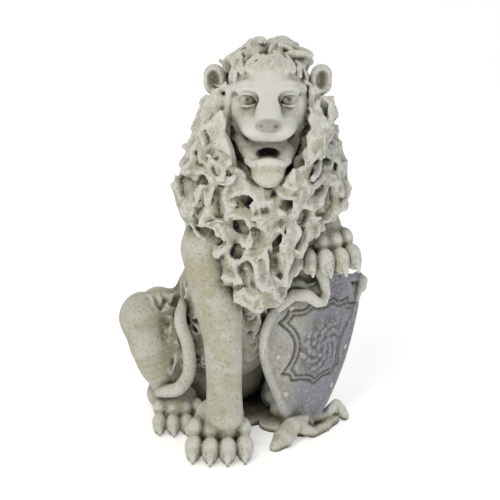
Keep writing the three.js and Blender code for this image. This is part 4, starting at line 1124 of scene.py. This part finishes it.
def new_group(name, inputs):
    """A geometry node tree with a mesh going in and out and the named inputs."""
    tree = bpy.data.node_groups.new(name, "GeometryNodeTree")
    tree.interface.new_socket("Geometry", in_out="INPUT", socket_type="NodeSocketGeometry")
    for label, kind in inputs:
        tree.interface.new_socket(label, in_out="INPUT", socket_type=kind)
    tree.interface.new_socket("Geometry", in_out="OUTPUT", socket_type="NodeSocketGeometry")
    return tree, tree.nodes.new("NodeGroupInput")


def finish_group(tree, geometry, material):
    realized = add(tree, "GeometryNodeRealizeInstances", {"Geometry": geometry}).outputs[0]
    dressed = add(tree, "GeometryNodeSetMaterial", {"Geometry": realized, "Material": material}).outputs[0]
    add(tree, "NodeGroupOutput", {0: dressed})


def uneven_skin(material):
    """Moves the skin in and out by smooth noise, as a mould's worn face does."""
    sockets = [("Depth", "NodeSocketFloat"), ("Width", "NodeSocketFloat"), ("Seed", "NodeSocketInt")]
    tree, group = new_group("uneven_skin", sockets)

    def math_node(operation, a, b):
        return add(tree, "ShaderNodeMath", {0: a, 1: b}, operation=operation).outputs[0]

    scale = math_node("DIVIDE", 1.0, group.outputs["Width"])
    inputs = {"W": group.outputs["Seed"], "Scale": scale, "Detail": 3.0, "Roughness": 0.6}
    swell = add(tree, "ShaderNodeTexNoise", inputs, noise_dimensions="4D").outputs["Fac"]
    depth = math_node("MULTIPLY", math_node("SUBTRACT", swell, 0.5), group.outputs["Depth"])
    doubled = math_node("MULTIPLY", depth, 2.0)
    held = add(tree, "GeometryNodeInputNamedAttribute", {"Name": "calm"}, data_type="FLOAT")
    share = math_node("SUBTRACT", 1.0, held.outputs["Attribute"])
    move = math_node("MULTIPLY", doubled, share)
    normal = add(tree, "GeometryNodeInputNormal").outputs[0]
    offset = add(tree, "ShaderNodeVectorMath", {0: normal, "Scale": move}, operation="SCALE").outputs[0]
    inputs = {"Geometry": group.outputs["Geometry"], "Offset": offset}
    finish_group(tree, add(tree, "GeometryNodeSetPosition", inputs).outputs[0], material)
    return tree


def stud_tree(material):
    """Sets a low dome on each point."""
    tree, group = new_group("shield_studs", [("Radius", "NodeSocketFloat")])
    inputs = {"Segments": 16, "Rings": 8, "Radius": group.outputs["Radius"]}
    dome = add(tree, "GeometryNodeMeshUVSphere", inputs).outputs[0]
    normal = add(tree, "GeometryNodeInputNormal").outputs[0]
    turn = add(tree, "FunctionNodeAlignRotationToVector", {"Vector": normal}, axis="Z").outputs[0]
    inputs = {"Points": group.outputs["Geometry"], "Instance": dome, "Rotation": turn, "Scale": (1.0, 1.0, 0.7)}
    instances = add(tree, "GeometryNodeInstanceOnPoints", inputs).outputs[0]
    finish_group(tree, instances, material)
    return tree


def shared_material(colours):
    found = bpy.data.materials.get("cast_stone_weathered")
    return found or cast_stone(colours)


def write_attribute(mesh, name, values):
    attribute = mesh.attributes.new(name, "FLOAT", "POINT")
    attribute.data.foreach_set("value", np.asarray(values, dtype=np.float32))


NARROW_REACH, WIDE_REACH = 4, 14
SKIN_SEED = 5
SEAT = 0.1 * MM
# Where the carved figure's middle was before it was moved over the origin.
SHIFT = {}


class LION_OT_casting(bpy.types.Operator):
    """Carve the lion and its shield as one casting"""

    bl_idname = "lion.casting"
    bl_label = "Carve casting"

    def execute(self, context):
        sizes, colours = context.scene.lion_sizes, context.scene.lion_colours
        field = carve_figure(sizes.cell / MM)
        points, faces = mesh_from_field(field)
        if len(points) == 0:
            raise RuntimeError("The field has no surface")
        middle = (points.min(axis=0) + points.max(axis=0)) / 2 * (1, 1, 0)
        SHIFT["middle"] = middle
        piece = placed("lion_casting", plain_mesh("lion_casting", points * MM, faces[:, ::-1]))
        thin = piece.modifiers.new("Thin", "DECIMATE")
        thin.ratio = min(1.0, sizes.triangles / (2 * len(faces)))
        mesh = settled_mesh(piece)
        count = len(mesh.vertices)
        flat = np.empty(3 * count, dtype=np.float32)
        mesh.vertices.foreach_get("co", flat)
        places = flat.reshape(-1, 3) / MM
        # The shield's share of blue-grey painted shade, which also calms the skin's unevenness there.
        shield = shield_shade_share(places)
        face = 1 - soft_step(60, 100, np.linalg.norm((places - on_head(0, 80, -25)) * (1, 0.8, 1), axis=1))
        write_attribute(mesh, "recess_narrow", recess_map(field, places, NARROW_REACH))
        write_attribute(mesh, "recess_wide", recess_map(field, places, WIDE_REACH))
        write_attribute(mesh, "shield", shield)
        write_attribute(mesh, "face", face)
        # Dirt in the shield's lines, and painted shade on the face.
        write_attribute(mesh, "grime", grime_and_shade_share(places))
        under = places[:, 2] < 0.5
        write_attribute(mesh, "calm", np.maximum(np.maximum(0.75 * shield, 0.7 * face), under))
        mesh.vertices.foreach_set("co", ((places - middle) * MM).astype(np.float32).ravel())
        mesh.shade_smooth()
        skin = piece.modifiers.new("Skin", "NODES")
        skin.node_group = uneven_skin(shared_material(colours))
        set_input(skin, "Depth", sizes.unevenness)
        set_input(skin, "Width", sizes.unevenness_width)
        set_input(skin, "Seed", SKIN_SEED)
        settled_mesh(piece)
        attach(piece, "root")
        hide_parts(NODE)
        return {"FINISHED"}


class LION_OT_studs(bpy.types.Operator):
    """Set the row of studs round the shield"""

    bl_idname = "lion.studs"
    bl_label = "Set studs"

    def execute(self, context):
        sizes, colours = context.scene.lion_sizes, context.scene.lion_colours
        places, normals = [], []
        for w, h in STUDS:
            w, h = w * SHIELD_WIDTH / 2, h * SHIELD_HEIGHT
            places.append((on_shield(w, h, 0.5) - SHIFT["middle"]) * MM)
            normals.append(unit(on_shield(w, h, 1) + SHIELD_ASIDE * (w / SHIELD_BOW) - on_shield(w, h, 0)))
        seats = []
        for p, n in zip(places, normals):
            across = unit(np.cross(n, point(0, 0, 1)))
            up = np.cross(n, across)
            seats += [p + across * SEAT, p + up * SEAT, p - across * SEAT - up * SEAT]
        faces = np.arange(len(seats)).reshape(-1, 3)
        piece = placed("shield_studs", plain_mesh("shield_studs", seats, faces))
        rows = piece.modifiers.new("Studs", "NODES")
        rows.node_group = stud_tree(shared_material(colours))
        set_input(rows, "Radius", sizes.stud_radius)
        mesh = settled_mesh(piece)
        write_attribute(mesh, "face", np.ones(len(mesh.vertices)))
        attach(piece, "root")
        return {"FINISHED"}


class LION_OT_stage(bpy.types.Operator):
    """Set the pale floor and backdrop, the lights and the camera"""

    bl_idname = "lion.stage"
    bl_label = "Set stage"

    def execute(self, context):
        studio = context.scene.lion_studio
        self.make_backdrop()
        self.make_light("key_light", (-1.5, -1.9, 2.3), studio.key_power, 0.9, "#fffaf0")
        self.make_light("fill_light", (2.2, -1.6, 1.2), studio.fill_power, 1.6, "#dfe4ff")
        world = bpy.data.worlds.new("white_room")
        context.scene.world = world
        world.use_nodes = True
        world.node_tree.nodes["Background"].inputs["Color"].default_value = linear("#ffffff")
        world.node_tree.nodes["Background"].inputs["Strength"].default_value = studio.world_strength
        self.make_camera(context, studio)
        context.scene.view_settings.view_transform = "Standard"
        return {"FINISHED"}

    def make_backdrop(self):
        """A sheet that lies on the ground in front and rises in a wide curve behind."""
        half, front, back, radius, top = 6.0, -4.0, 3.0, 1.6, 6.0
        profile = [(front, 0.0), (back, 0.0)]
        for k in range(1, 13):
            turn = math.radians(90 * k / 12)
            profile.append((back + radius * math.sin(turn), radius * (1 - math.cos(turn))))
        profile.append((back + radius, top))
        points = [(x, y, z) for y, z in profile for x in (-half, half)]
        faces = [(2 * k, 2 * k + 1, 2 * k + 3, 2 * k + 2) for k in range(len(profile) - 1)]
        sheet = placed("floor_sheet", plain_mesh("floor_sheet", points, faces))
        sheet.data.shade_smooth()
        sheet.data.materials.append(stage_paper())

    def make_light(self, name, at, power, size, colour):
        light = bpy.data.lights.new(name, "AREA")
        light.energy, light.size, light.color = power, size, linear(colour)[:3]
        lamp = bpy.data.objects.new(name, light)
        lamp.location = at
        lamp.rotation_euler = (Vector((0, 0, 0.4)) - Vector(at)).to_track_quat("-Z", "Y").to_euler()
        bpy.context.scene.collection.objects.link(lamp)

    def make_camera(self, context, studio):
        """The photograph was taken from the lion's right front, a little above its head."""
        azimuth, away, height, aim, aside = math.radians(-20), 2100, 850, 370, -22
        back = point(math.sin(azimuth), -math.cos(azimuth), 0)
        right = point(math.cos(azimuth), math.sin(azimuth), 0)
        start = right * aside - SHIFT.get("middle", point(0, 0, 0))
        eye = Vector((start + back * away + point(0, 0, height)) * MM)
        target = Vector((start + point(0, 0, aim)) * MM)
        camera = bpy.data.objects.new("camera", bpy.data.cameras.new("camera"))
        camera.data.lens = studio.focal_length
        camera.location = eye
        camera.rotation_euler = (target - eye).to_track_quat("-Z", "Y").to_euler()
        context.scene.collection.objects.link(camera)
        context.scene.camera = camera


class LION_PT_panel(bpy.types.Panel):
    """Lists the lion's sizes, colours and steps"""

    bl_label = "Garden lion"
    bl_idname = "LION_PT_panel"
    bl_space_type = "VIEW_3D"
    bl_region_type = "UI"
    bl_category = "Garden lion"

    def draw(self, context):
        for group in (context.scene.lion_sizes, context.scene.lion_colours, context.scene.lion_studio):
            for name in group.__annotations__:
                self.layout.prop(group, name)
        for step in STEPS:
            self.layout.operator(step.bl_idname)


STEPS = (LION_OT_casting, LION_OT_studs, LION_OT_stage)
GROUPS = {"lion_sizes": LionSizes, "lion_colours": LionColours, "lion_studio": StudioSettings}
CLASSES = (*GROUPS.values(), *STEPS, LION_PT_panel)


def register():
    for one in CLASSES:
        bpy.utils.register_class(one)
    for name, group in GROUPS.items():
        setattr(bpy.types.Scene, name, bpy.props.PointerProperty(type=group))


def unregister():
    for name in GROUPS:
        delattr(bpy.types.Scene, name)
    for one in reversed(CLASSES):
        bpy.utils.unregister_class(one)


def main():
    register()
    bpy.ops.lion.casting()
    bpy.ops.lion.studs()
    bpy.ops.lion.stage()


if __name__ == "__main__":
    main()
